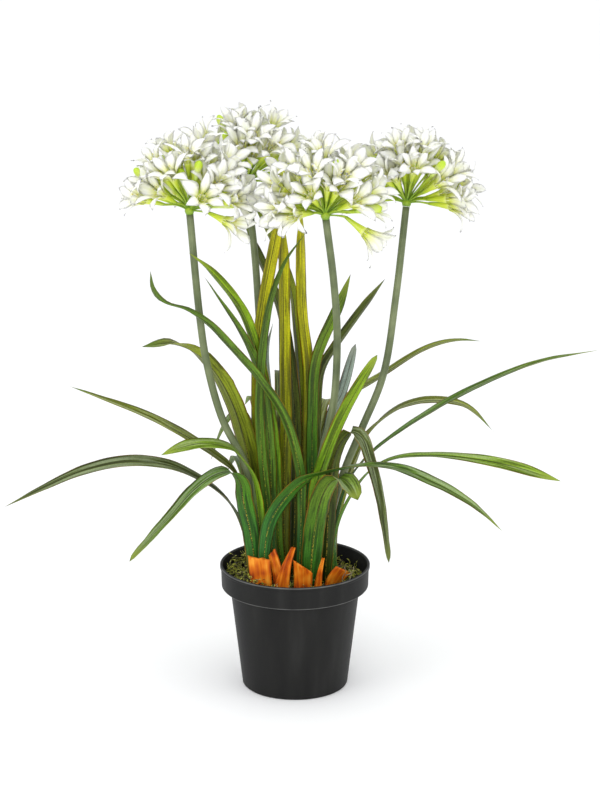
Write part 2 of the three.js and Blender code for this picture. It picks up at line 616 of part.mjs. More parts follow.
// All stalks of a head: those of the golden-angle rule, then those placed by hand.
function floretList(umbel, hub) {
  const list = [];
  for (let i = 0; i < umbel.florets; i += 1) {
    const id = umbel.seed + i;
    const even = 1 - (1 - Math.cos(LOWEST)) * ((i + 0.5) / umbel.florets);
    const azimuth = umbel.spin + i * GOLDEN_ANGLE + 0.18 * draw(id, 1);
    const rise = even + (1 - even) * PARTING * THREE.MathUtils.smoothstep(-Math.sin(azimuth), 0.5, 0.9);
    const flat = Math.sqrt(1 - rise * rise);
    const direction = new THREE.Vector3(flat * Math.cos(azimuth), flat * Math.sin(azimuth), rise);
    const reach = umbel.reach + vector(umbel.shift).dot(direction) + 5 * draw(id, 2);
    list.push({ direction, droop: 0, reach, bud: i % 6 === 3, id });
  }
  umbel.handPlaced.forEach(([azimuth, elevation, droop, kind], i) => {
    const rise = radians(elevation);
    const direction = new THREE.Vector3(Math.cos(rise), 0, Math.sin(rise));
    direction.applyAxisAngle(UP, radians(azimuth));
    list.push({ direction, droop, reach: umbel.reach + 2, bud: kind === 'bud', id: umbel.seed + 60 + i });
  });
  return list.map(({ direction, droop, reach, bud, id }) => {
    const level = new THREE.Vector3(direction.y, -direction.x, 0).normalize();
    const axis = direction.clone().applyAxisAngle(level, radians(-droop));
    const lobe = LOBE_LENGTH + 2 * draw(id, 3);
    const length = bud ? BUD_LENGTH + 8 : TUBE_LENGTH + lobe * 0.7;
    return { hub, stalkAxis: direction, axis, stalk: reach - length, lobe, spin: 3 * draw(id, 4), bud };
  });
}

function umbelGeometry(umbel) {
  const curve = rootedCurve(scapes[umbel.scape].path);
  const along = curve.getTangent(1);
  const foot = curve.getPoint(1).addScaledVector(along, SEAT_GAP);
  const hub = foot.clone().addScaledVector(along, 4);
  const pieces = floretList(umbel, hub).map((floret) => {
    return floret.bud ? budGeometry(floret) : floretGeometry(floret);
  });
  return fromSolid(fuse([hubGeometry(foot, along), ...pieces]));
}

// ---------------------------------------------------------------------------------------------------------
// Assembly
// ---------------------------------------------------------------------------------------------------------

const plant = new THREE.Group();
plant.name = 'agapanthus_plant';

const named = leaves.map((leaf, i) => ({ ...leaf, name: `leaf_${String(i + 1).padStart(2, '0')}` }));

const holes = [
  ...scapes.map((scape) => scapeGeometry(scape, HOLE_PLAY)),
  ...named.map((leaf) => leafGeometry(leaf, HOLE_PLAY)),
  ...driedBases.map((base) => driedGeometry(base, HOLE_PLAY)),
];
const soil = holes.reduce((solid, hole) => solid.subtract(toSolid(hole)), toSolid(soilGeometry()));

addPiece(plant, 'pot', potGeometry(), materials.pot);
addPiece(plant, 'soil', fromSolid(soil), materials.soil);
scapes.forEach((scape) => addPiece(plant, scape.name, scapeGeometry(scape, 0), materials.scape));
named.forEach((leaf) => addPiece(plant, leaf.name, leafGeometry(leaf, 0), materials[leaf.colour]));
driedBases.forEach((base) => addPiece(plant, base.name, driedGeometry(base, 0), materials.sheath));
umbels.forEach((umbel) => addPiece(plant, umbel.name, umbelGeometry(umbel), materials.umbel));

export default plant;
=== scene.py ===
import math
import random
from functools import partial

import bpy
from mathutils import Matrix, Quaternion, Vector, noise


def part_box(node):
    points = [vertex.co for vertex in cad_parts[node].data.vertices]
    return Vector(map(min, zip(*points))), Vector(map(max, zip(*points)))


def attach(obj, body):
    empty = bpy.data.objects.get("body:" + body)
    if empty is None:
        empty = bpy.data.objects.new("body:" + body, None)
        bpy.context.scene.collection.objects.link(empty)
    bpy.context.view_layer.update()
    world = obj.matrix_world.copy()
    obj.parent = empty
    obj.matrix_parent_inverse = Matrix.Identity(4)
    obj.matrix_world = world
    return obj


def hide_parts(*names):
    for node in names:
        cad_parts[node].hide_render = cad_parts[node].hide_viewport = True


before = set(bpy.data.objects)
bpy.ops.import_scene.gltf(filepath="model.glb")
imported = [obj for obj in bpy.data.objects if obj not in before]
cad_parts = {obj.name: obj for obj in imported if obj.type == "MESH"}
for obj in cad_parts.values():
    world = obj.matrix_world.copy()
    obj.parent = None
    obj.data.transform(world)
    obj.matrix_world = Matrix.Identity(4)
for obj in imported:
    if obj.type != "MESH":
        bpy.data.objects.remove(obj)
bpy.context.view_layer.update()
scene = bpy.context.scene


# ------------ Camera, floor and light ------------
# A long lens looks down on the plant from in front. The plant stands on a pale floor that fills the view,
# under a bright overcast sky, with large soft lamps on each side, above and in front. Places are in metres.

CAMERA_PLACE = (0.0057, -2.7848, 1.1237)
CAMERA_PITCH = 15.82
CAMERA_LENS = 117
CAMERA_SENSOR = 36
FAR_LIMIT = 100
SKY_STRENGTH = 1.08
LAMP_AIM = Vector((0, 0, 0.35))
FLOOR_SIZE = 60
FLOOR_DROP = 0.0001

camera_data = bpy.data.cameras.new("camera")
camera_data.lens = CAMERA_LENS
camera_data.sensor_width = CAMERA_SENSOR
camera_data.clip_end = FAR_LIMIT
camera = bpy.data.objects.new("camera", camera_data)
camera.location = CAMERA_PLACE
camera.rotation_euler = (math.radians(90 - CAMERA_PITCH), 0, 0)
scene.collection.objects.link(camera)
scene.camera = camera
scene.view_settings.view_transform = "Standard"


def linear(code):
    """The linear colour of an sRGB hex code such as "#2f3031"."""
    parts = [int(code[i : i + 2], 16) / 255 for i in (1, 3, 5)]
    return (*[c / 12.92 if c <= 0.04045 else ((c + 0.055) / 1.055) ** 2.4 for c in parts], 1)


def connect(tree, node, inputs):
    """Links each input to a node's first output or to a given output, or sets it to a value."""
    for name, value in inputs.items():
        if isinstance(value, bpy.types.Node):
            value = value.outputs[0]
        if isinstance(value, bpy.types.NodeSocket):
            tree.links.new(value, node.inputs[name])
        else:
            node.inputs[name].default_value = value


def add_node(tree, kind, inputs=None, **settings):
    """Adds a node with its inputs and settings.

    A Mix node's share and colours are its inputs 0, 6 and 7. A MapRange node goes from input 3 to input 4
    while its input 0 goes from input 1 to input 2.
    """
    node = tree.nodes.new("ShaderNode" + kind)
    for name, value in settings.items():
        if name == "stops":
            ramp = node.color_ramp
            while len(ramp.elements) < len(value):
                ramp.elements.new(0.5)
            for element, (place, colour) in zip(ramp.elements, value):
                element.position = place
                element.color = linear(colour) if isinstance(colour, str) else (colour, colour, colour, 1)
        else:
            setattr(node, name, value)
    connect(tree, node, inputs or {})
    return node


def new_material(name):
    """A material, a function that adds a node to it and one that connects its surface shader."""
    material = bpy.data.materials.new(name)
    material.use_nodes = True
    tree = material.node_tree
    return material, partial(add_node, tree), partial(connect, tree, tree.nodes["Principled BSDF"])


def soft_lamp(name, place, size, power):
    """A square lamp that faces the middle of the plant."""
    data = bpy.data.lights.new(name, "AREA")
    data.size = size
    data.energy = power
    lamp = bpy.data.objects.new(name, data)
    lamp.location = place
    lamp.rotation_euler = (LAMP_AIM - Vector(place)).to_track_quat("-Z", "Y").to_euler()
    scene.collection.objects.link(lamp)


soft_lamp("left_lamp", (-1.9, -1.5, 1.5), 1.4, 7)
soft_lamp("right_lamp", (2.1, -0.9, 1.3), 1.4, 5)
soft_lamp("top_lamp", (-0.2, -0.6, 2.4), 1.4, 6)
soft_lamp("front_lamp", (-0.3, -2.5, 0.9), 0.8, 14)

sky = bpy.data.worlds.new("overcast_sky")
sky.use_nodes = True
tree = sky.node_tree
connect(tree, tree.nodes["Background"], {"Color": linear("#fbfcff"), "Strength": SKY_STRENGTH})
scene.world = sky

floor_paper, _, surface = new_material("floor_paper")
surface({"Base Color": linear("#fcfcfb"), "Roughness": 0.9})

bpy.ops.object.select_all(action="DESELECT")
bpy.ops.mesh.primitive_plane_add(size=FLOOR_SIZE, location=(0, 0, -FLOOR_DROP))
floor = bpy.context.object
floor.name = "floor"
floor.data.materials.append(floor_paper)


# ------------ Pot ------------
# A round nursery pot of black polypropylene, injection moulded in one piece: a tapered body, a deep collar
# that steps out over it and a small bead round the rim. Turned from its outline, with every edge eased. From
# here on, sizes are in millimetres.

MM = 0.001
POT_WALL = 2.2
POT_FLOOR = 3
POT_FOOT = 60
FOOT_EDGE = 1.5
COLLAR = 27
COLLAR_STEP = 11.5
COLLAR_IN = 1.8
COLLAR_EDGE = 1.6
BEAD = 3.5
BEAD_OUT = 1.2
BEAD_EDGE = 0.8
POT_STEPS = 96
EASING = 0.6

rim_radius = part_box("pot")[1].x / MM
pot_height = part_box("pot")[1].z / MM
collar_foot = pot_height - COLLAR
neck = rim_radius - COLLAR_STEP
inner_rim = rim_radius - POT_WALL
pot_outline = [
    (0, 0),
    (POT_FOOT - FOOT_EDGE, 0),
    (POT_FOOT, FOOT_EDGE),
    (neck, collar_foot),
    (rim_radius - COLLAR_IN - COLLAR_EDGE, collar_foot),
    (rim_radius - COLLAR_IN, collar_foot + COLLAR_EDGE),
    (rim_radius - BEAD_OUT, pot_height - BEAD - 1),
    (rim_radius, pot_height - BEAD),
    (rim_radius, pot_height - BEAD_EDGE),
    (rim_radius - BEAD_EDGE, pot_height),
    (inner_rim - 0.6, pot_height),
    (inner_rim - 2.2, collar_foot + POT_WALL),
    (neck - POT_WALL, collar_foot + POT_WALL),
    (POT_FOOT - POT_WALL, POT_FLOOR),
    (0, POT_FLOOR),
]

pot_mesh = bpy.data.meshes.new("nursery_pot")
pot_mesh.from_pydata(
    [(radius * MM, 0, height * MM) for radius, height in pot_outline],
    [(i, i + 1) for i in range(len(pot_outline) - 1)],
    [],
)
pot = bpy.data.objects.new("nursery_pot", pot_mesh)
scene.collection.objects.link(pot)
bpy.ops.object.select_all(action="DESELECT")
pot.select_set(True)
bpy.context.view_layer.objects.active = pot
bpy.ops.object.mode_set(mode="EDIT")
bpy.ops.mesh.select_all(action="SELECT")
bpy.ops.mesh.spin(steps=POT_STEPS, angle=math.tau, center=(0, 0, 0), axis=(0, 0, 1))
bpy.ops.mesh.select_all(action="SELECT")
bpy.ops.mesh.remove_doubles(threshold=1e-6)
bpy.ops.mesh.normals_make_consistent(inside=False)
bpy.ops.object.mode_set(mode="OBJECT")
bevel = pot.modifiers.new("eased_edges", "BEVEL")
bevel.width = EASING * MM
bevel.segments = 3
bevel.limit_method = "ANGLE"
bevel.angle_limit = math.radians(20)
bpy.ops.object.modifier_apply(modifier="eased_edges")
bpy.ops.object.shade_smooth_by_angle(angle=math.radians(40))

# Matt black polypropylene from a spark-eroded mould: neutral and dull, with faint upright flow marks. Its
# grain, about a third of a millimetre across, is drawn three times as coarse to show. A thin pale painted
# highlight runs round the lower edge of the collar and round the rim.
GRAIN = 1.0
FLOW_WIDTH = 20
FLOW_LENGTH = 160

polypropylene, add, surface = new_material("moulded_polypropylene")
place = add("TexCoord").outputs["Object"]
grain = add("TexNoise", {"Vector": place, "Scale": 1 / (GRAIN * MM), "Detail": 2})
flow_scale = (1 / (FLOW_WIDTH * MM), 1 / (FLOW_WIDTH * MM), 1 / (FLOW_LENGTH * MM))
flow_place = add("Mapping", {"Vector": place, "Scale": flow_scale})
flow = add("TexNoise", {"Vector": flow_place, "Scale": 1, "Detail": 5})
body = add("ValToRGB", {0: flow}, stops=[(0.3, "#191919"), (0.55, "#1f1f1e"), (0.8, "#292928")])
up = add("SeparateXYZ", {0: place}).outputs[2]
height = add("Math", {0: up, 1: pot_height * MM}, operation="DIVIDE")
edge = collar_foot / pot_height
# Thin pale rings at the collar's lower edge and just under the rim's top: a painted highlight, broken up by
# the flow marks.
scuffed = add("ValToRGB", {0: height}, stops=[
    (edge + 0.001, 0), (edge + 0.005, 0.55), (edge + 0.012, 0), (0.988, 0), (0.994, 0.6), (0.9985, 0)])
rubbed = add("Math", {0: scuffed, 1: flow}, operation="MULTIPLY")
worn = add("Mix", {0: rubbed, 6: body, 7: linear("#b4b5b2")}, data_type="RGBA").outputs[2]
wear = add("MapRange", {0: grain, 3: 0.46, 4: 0.62})
bump = add("Bump", {"Height": grain, "Strength": 0.35, "Distance": 0.25 * MM})
surface({"Base Color": worn, "Roughness": wear, "Normal": bump})
surface({"IOR": 1.49, "Specular IOR Level": 0.12})
pot.data.materials.append(polypropylene)
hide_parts("pot")
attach(pot, "root")


# ------------ Soil ------------
# Bark and peat potting mix, filled to two fingers' width below the rim and settled into small lumps. Turned
# like the pot's inside, with its top raised and lowered in clods.

SEAT_GAP = 0.3
SOIL_LEVEL = 122
SOIL_RADIUS = 80.3
SOIL_COLUMNS = 120
SOIL_RINGS = 34
CLOD = 7
CLOD_HEIGHT = 1.6
CLOD_SINK = 0.4


def polar(radius, angle, height=0):
    """The point at a radius and an angle round Z, at a height."""
    return Vector((radius * math.cos(angle), radius * math.sin(angle), height))


def skin(name, columns, rows, place, level=lambda v: v):
    """A closed skin: a grid wrapped round into a tube and drawn together at both ends.

    place(u, v) is the point at share u round it and share v along it, in millimetres. level(v) is the share
    that the pattern along it has there.
    """
    bpy.ops.object.select_all(action="DESELECT")
    bpy.ops.mesh.primitive_grid_add(x_subdivisions=columns, y_subdivisions=rows + 2, size=1)
    piece = bpy.context.object
    piece.name = piece.data.name = name
    for corner in piece.data.uv_layers.active.data:
        row = round(corner.uv.y * (rows + 2)) - 1
        corner.uv.y = level(min(max(row / rows, 0), 1))
    for vertex in piece.data.vertices:
        u = vertex.co.x + 0.5
        row = round((vertex.co.y + 0.5) * (rows + 2)) - 1
        if 0 <= row <= rows:
            vertex.co = place(u, row / rows) * MM
        else:
            end = min(max(row / rows, 0), 1)
            ring = [place(k / columns, end) for k in range(columns)]
            vertex.co = sum(ring, Vector()) * (MM / columns)
    bpy.ops.object.mode_set(mode="EDIT")
    bpy.ops.mesh.select_all(action="SELECT")
    bpy.ops.mesh.remove_doubles(threshold=2e-6)
    bpy.ops.mesh.normals_make_consistent(inside=False)
    bpy.ops.object.mode_set(mode="OBJECT")
    bpy.ops.object.shade_smooth()
    return piece


def soil_point(u, v):
    """Up the wall from the floor, then inwards over the clods to the middle."""
    outline = [
        (POT_FOOT - POT_WALL - SEAT_GAP, POT_FLOOR + SEAT_GAP),
        (neck - POT_WALL - SEAT_GAP, collar_foot + POT_WALL + SEAT_GAP),
        (SOIL_RADIUS - SEAT_GAP, collar_foot + POT_WALL + SEAT_GAP),
        (SOIL_RADIUS, SOIL_LEVEL - 1),
    ]
    step = round(v * SOIL_RINGS)
    if step < len(outline):
        radius, height = outline[step]
    else:
        radius = SOIL_RADIUS * (SOIL_RINGS - step) / (SOIL_RINGS - len(outline) + 1)
        height = SOIL_LEVEL
    point = polar(radius, u * math.tau, height)
    if step >= len(outline) - 1:
        point.z += CLOD_HEIGHT * noise.fractal(point / CLOD, 1.0, 2.0, 4) - CLOD_SINK
    return point


soil = skin("potting_mix", SOIL_COLUMNS, SOIL_RINGS, soil_point)

# Peat and fine bark: dark brown crumbs a few millimetres across, dull and rough.
CRUMB = 3.5
FIBRE = 1.2

potting_mix, add, surface = new_material("bark_and_peat")
place = add("TexCoord").outputs["Object"]
crumbs = add("TexVoronoi", {"Vector": place, "Scale": 1 / (CRUMB * MM)})
fibres = add("TexNoise", {"Vector": place, "Scale": 1 / (FIBRE * MM), "Detail": 6})
tint = add("ValToRGB", {0: fibres}, stops=[
    (0.28, "#120d08"), (0.5, "#2b1e10"), (0.66, "#4a3519"), (0.82, "#7c6a35")])
relief = add("Math", {0: fibres, 1: crumbs}, operation="SUBTRACT")
bump = add("Bump", {"Height": relief, "Strength": 0.9, "Distance": 1.2 * MM})
surface({"Base Color": tint, "Normal": bump, "Roughness": 0.92})
soil.data.materials.append(potting_mix)
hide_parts("soil")
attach(soil, "root")


# ------------ Moss and rootlets ------------
# Tangled threads of green and straw-coloured moss lie over the soil, and a few pale rootlets stand out of it.
# Each thread is a copy of one of a dozen curled threads, laid down at a drawn place and turn.

MOSS_SEED = 5
MOSS_THREADS = 1500
MOSS_KINDS = 12
MOSS_COVER = 3
MOSS_MOUND = 13
MOSS_LUMP = 15
THREAD_LENGTH = 18
THREAD_STEPS = 6
THREAD_RADIUS = 0.95
THREAD_SIDES = 3
THREAD_ROWS = 8
CURVE_STEPS = 240
SEAM_SIDE = Vector((1, 0.13, 0.07))
ROOTLETS = [
    [(52, -33, 119), (55, -34, 130), (53, -35, 137), (57, -37, 146), (55, -38, 152)],
    [(55, -34, 130), (61, -36, 135), (63, -35, 142), (61, -37, 148)],
    [(57, -37, 141), (64, -39, 145), (66, -38, 152)],
    [(46, 2, 119), (50, 0, 130), (49, -2, 138), (53, -4, 143)],
    [(50, 0, 132), (55, -3, 136), (58, -2, 141)],
    [(60, -28, 119), (67, -30, 126), (70, -33, 124), (74, -32, 130)],
    [(-40, -52, 119), (-46, -54, 128), (-44, -57, 136), (-47, -59, 141)],
]


def join(name, pieces):
    """Makes several pieces one, under a new name."""
    bpy.ops.object.select_all(action="DESELECT")
    for piece in pieces:
        piece.select_set(True)
    bpy.context.view_layer.objects.active = pieces[0]
    bpy.ops.object.join()
    pieces[0].name = pieces[0].data.name = name
    return pieces[0]


def copy_of(piece, matrix):
    """A copy with its own mesh, placed in that mesh."""
    copy = piece.copy()
    copy.data = piece.data.copy()
    copy.data.transform(matrix)
    scene.collection.objects.link(copy)
    return copy


def curve_point(points, share):
    """The point at a share of a centripetal Catmull-Rom curve, its ends carried straight on."""
    place = share * (len(points) - 1)
    span = min(int(place), len(points) - 2)
    x = place - span
    b, c = points[span], points[span + 1]
    a = points[span - 1] if span > 0 else 2 * b - c
    d = points[span + 2] if span + 2 < len(points) else 2 * c - b
    before, here, after = [math.sqrt((q - p).length) for p, q in ((a, b), (b, c), (c, d))]
    leave = ((b - a) / before - (c - a) / (before + here) + (c - b) / here) * here
    arrive = ((c - b) / here - (d - b) / (here + after) + (d - c) / after) * here
    return b + leave * x + (3 * (c - b) - 2 * leave - arrive) * x**2 + (2 * (b - c) + leave + arrive) * x**3


def stations(points, count):
    """Points and directions at even lengths along a curve, with each one's share of the length."""
    fine = [curve_point(points, k / CURVE_STEPS) for k in range(CURVE_STEPS + 1)]
    lengths = [0]
    for here, beyond in zip(fine, fine[1:]):
        lengths.append(lengths[-1] + (beyond - here).length)
    made = []
    k = 0
    for row in range(count + 1):
        wanted = lengths[-1] * row / count
        while k < CURVE_STEPS - 1 and lengths[k + 1] < wanted:
            k += 1
        part = (wanted - lengths[k]) / (lengths[k + 1] - lengths[k])
        low, high = fine[max(k - 1, 0)], fine[min(k + 2, CURVE_STEPS)]
        made.append((fine[k].lerp(fine[k + 1], part), (high - low).normalized(), row / count))
    return made


def tube(name, points, columns, rows, radius):
    """A round stem along a curve. radius(u, v) is its radius at each place."""
    line = stations(points, rows)

    def place(u, v):
        centre, along, _ = line[round(v * rows)]
        side = SEAM_SIDE.cross(along).normalized()
        return centre + Quaternion(along, u * math.tau) @ side * radius(u, v)

    return skin(name, columns, rows, place)


def smooth(x, low, high):
    """A smooth rise from 0 at low to 1 at high."""
    x = min(max((x - low) / (high - low), 0), 1)
    return x * x * (3 - 2 * x)


def moss_depth(x, y):
    """How deep the moss lies: a lumpy cover, twice as deep in front, with a mound on the left."""
    lumps = noise.noise(Vector((x, y, 0)) / MOSS_LUMP)
    cover = MOSS_COVER + MOSS_MOUND * smooth(-x, 8, 62) + MOSS_COVER * smooth(-y, 20, 55)
    return cover * (1 + 0.8 * lumps)


def thread_radius(u, v):
    """Tapers to less than half towards the end."""
    return THREAD_RADIUS * (1 - 0.6 * v)


draws = random.Random(MOSS_SEED)
threads = []
for kind in range(MOSS_KINDS):
    points = [Vector((0, 0, 0))]
    heading = 0
    for _ in range(THREAD_STEPS):
        heading += draws.uniform(-1.5, 1.5)
        step = polar(1, heading, draws.uniform(-0.5, 0.5))
        points.append(points[-1] + step * THREAD_LENGTH / THREAD_STEPS)
    threads.append(tube("moss_thread", points, THREAD_SIDES, THREAD_ROWS, thread_radius))

# A thread that would run into the pot's wall is left out and drawn again.
laid = []
while len(laid) < MOSS_THREADS:
    distance = SOIL_RADIUS * math.sqrt(draws.uniform(0, 0.99))
    bearing = draws.uniform(0, math.tau)
    x, y = distance * math.cos(bearing), distance * math.sin(bearing)
    place = Vector((x, y, SOIL_LEVEL + 0.4 + moss_depth(x, y) * math.sqrt(draws.uniform(0.02, 1)))) * MM
    turn = Matrix.Rotation(draws.uniform(0, math.tau), 4, "Z") @ Matrix.Rotation(draws.gauss(0, 0.4), 4, "X")
    turn = turn @ Matrix.Rotation(draws.gauss(-0.08, 0.34), 4, "Y")
    laying = Matrix.Translation(place) @ turn @ Matrix.Scale(draws.uniform(0.5, 1.0), 4)
    thread = draws.choice(threads)
    if max((laying @ vertex.co).xy.length for vertex in thread.data.vertices) < SOIL_RADIUS * MM:
        laid.append(copy_of(thread, laying))
moss = join("moss", laid)
for thread in threads:
    bpy.data.objects.remove(thread)

# Drying sphagnum: dull threads, each a few millimetres of yellow-green, straw or dark brown, in drifts of
# about a thread's length.
sphagnum, add, surface = new_material("dry_sphagnum")
place = add("TexCoord").outputs["Object"]
spots = add("TexVoronoi", {"Vector": place, "Scale": 1 / (4 * MM)})
drift = add("TexNoise", {"Vector": place, "Scale": 1 / (16 * MM), "Detail": 3})
spot = add("SeparateColor", {"Color": spots.outputs["Color"]})
pick = add("Math", {0: drift, 1: 0.9, 2: spot}, operation="MULTIPLY_ADD")
scaled = add("Math", {0: pick, 1: 0.55}, operation="MULTIPLY")
tint = add("ValToRGB", {0: scaled}, stops=[
    (0.2, "#0e0a05"), (0.34, "#383a0a"), (0.46, "#9a9e26"),
    (0.6, "#d8da68"), (0.72, "#2c220c"), (0.92, "#cec28c")])
surface({"Base Color": tint, "Roughness": 0.85})
moss.data.materials.append(sphagnum)
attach(moss, "root")

rootlets = join("rootlets", [
    tube("rootlet", [Vector(point) for point in path], 5, 16, lambda u, v: 0.6 * (1 - 0.75 * v) + 0.1)
    for path in ROOTLETS])

# Bare root fibre: pale straw, mottled darker every few millimetres, matt.
root_fibre, add, surface = new_material("root_fibre")
place = add("TexCoord").outputs["Object"]
mottle = add("TexNoise", {"Vector": place, "Scale": 1 / (3 * MM), "Detail": 4})
tint = add("ValToRGB", {0: mottle}, stops=[(0.3, "#6e6248"), (0.6, "#a89c7e"), (0.85, "#cbc2aa")])
surface({"Base Color": tint, "Roughness": 0.75})
rootlets.data.materials.append(root_fibre)
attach(rootlets, "root")


# ------------ Scapes ------------
# The four leafless flower stalks: solid, smooth and round, a little stouter at the foot than below the head,
# with a dull grey-green bloom. Each is a tube along its own curve, with its foot in the soil.

ROOT_DEPTH = 10
SCAPE_RADIUS = 4.2
SCAPE_COLUMNS = 20
SCAPE_ROWS = 72

# Each line runs from its place on the soil to the foot of the flower head.
scape_lines = [
    [(-30, -15), (-37, -17, 188), (-55, -23, 266), (-80, -29, 321), (-96, -36, 385), (-103, -43, 439),
     (-112, -60, 558)],
    [(-26, 10), (-27, 14, 189), (-34, 29, 303), (-45, 66, 485), (-54, 85, 560)],
    [(21, -13), (22, -19, 200), (30, -29, 280), (42, -39, 337), (46, -55, 418), (42, -71, 485),
     (33, -90, 559)],
    [(35, 3), (40, 7, 192), (55, 12, 247), (75, 18, 296), (99, 28, 356), (113, 43, 444),
     (124, 62, 541)],
]


def rooted(line):
    """The points of a line that starts on the soil, with one more below them in it."""
    start = Vector((*line[0], SOIL_LEVEL))
    return [start - Vector((0, 0, ROOT_DEPTH)), start, *map(Vector, line[1:])]


# Living stem skin: grey-green with a waxy bloom, fine lengthwise lines a millimetre apart, satin.
stem_skin, add, surface = new_material("scape_skin")
uv = add("UVMap", uv_map="UVMap")
place = add("TexCoord").outputs["Object"]
line_place = add("Mapping", {"Vector": uv, "Scale": (26, 3, 1)})
lines = add("TexNoise", {"Vector": line_place, "Scale": 1, "Detail": 3})
bloom = add("TexNoise", {"Vector": place, "Scale": 1 / (30 * MM), "Detail": 4})
mixed = add("Math", {0: lines, 1: 0.5, 2: bloom}, operation="MULTIPLY_ADD")
half = add("Math", {0: mixed, 1: 0.667}, operation="MULTIPLY")
tint = add("ValToRGB", {0: half}, stops=[(0.34, "#465230"), (0.5, "#616c46"), (0.66, "#7a835c")])
bump = add("Bump", {"Height": lines, "Strength": 0.35, "Distance": 0.3 * MM})
surface({"Base Color": tint, "Normal": bump, "Roughness": 0.52})


def scape_radius(u, v):
    """Tapers by a tenth along the scape, with five faint ridges round it."""
    return SCAPE_RADIUS * (1.04 - 0.1 * v) * (1 + 0.012 * math.cos(5 * u * math.tau))


for number, line in enumerate(scape_lines, 1):
    stem = tube(f"flower_stalk_{number}", rooted(line), SCAPE_COLUMNS, SCAPE_ROWS, scape_radius)
    stem.data.materials.append(stem_skin)
    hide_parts(f"scape_{number}")
    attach(stem, "root")


# ------------ Leaves ------------
# Thirty-four strap leaves, fleshy and channelled, with close parallel veins. Each blade is a grid wrapped
# round its own line: a groove along its upper face, a rib under it and lightly waved edges.

LEAF_ROOT_SHARE = 0.62
LEAF_CREASE = 0.12
LEAF_EDGE = 0.28
LEAF_COLUMNS = 20
LEAF_STEP = 6
COLUMN_CROWDING = 1.4
RIB = 0.47
RIB_WIDTH = 0.16
GROOVE = 0.55
GROOVE_WIDTH = 0.09
WAVE = 0.45
WAVE_LENGTH = 17
NICK = 0.035
NICK_LENGTH = 7

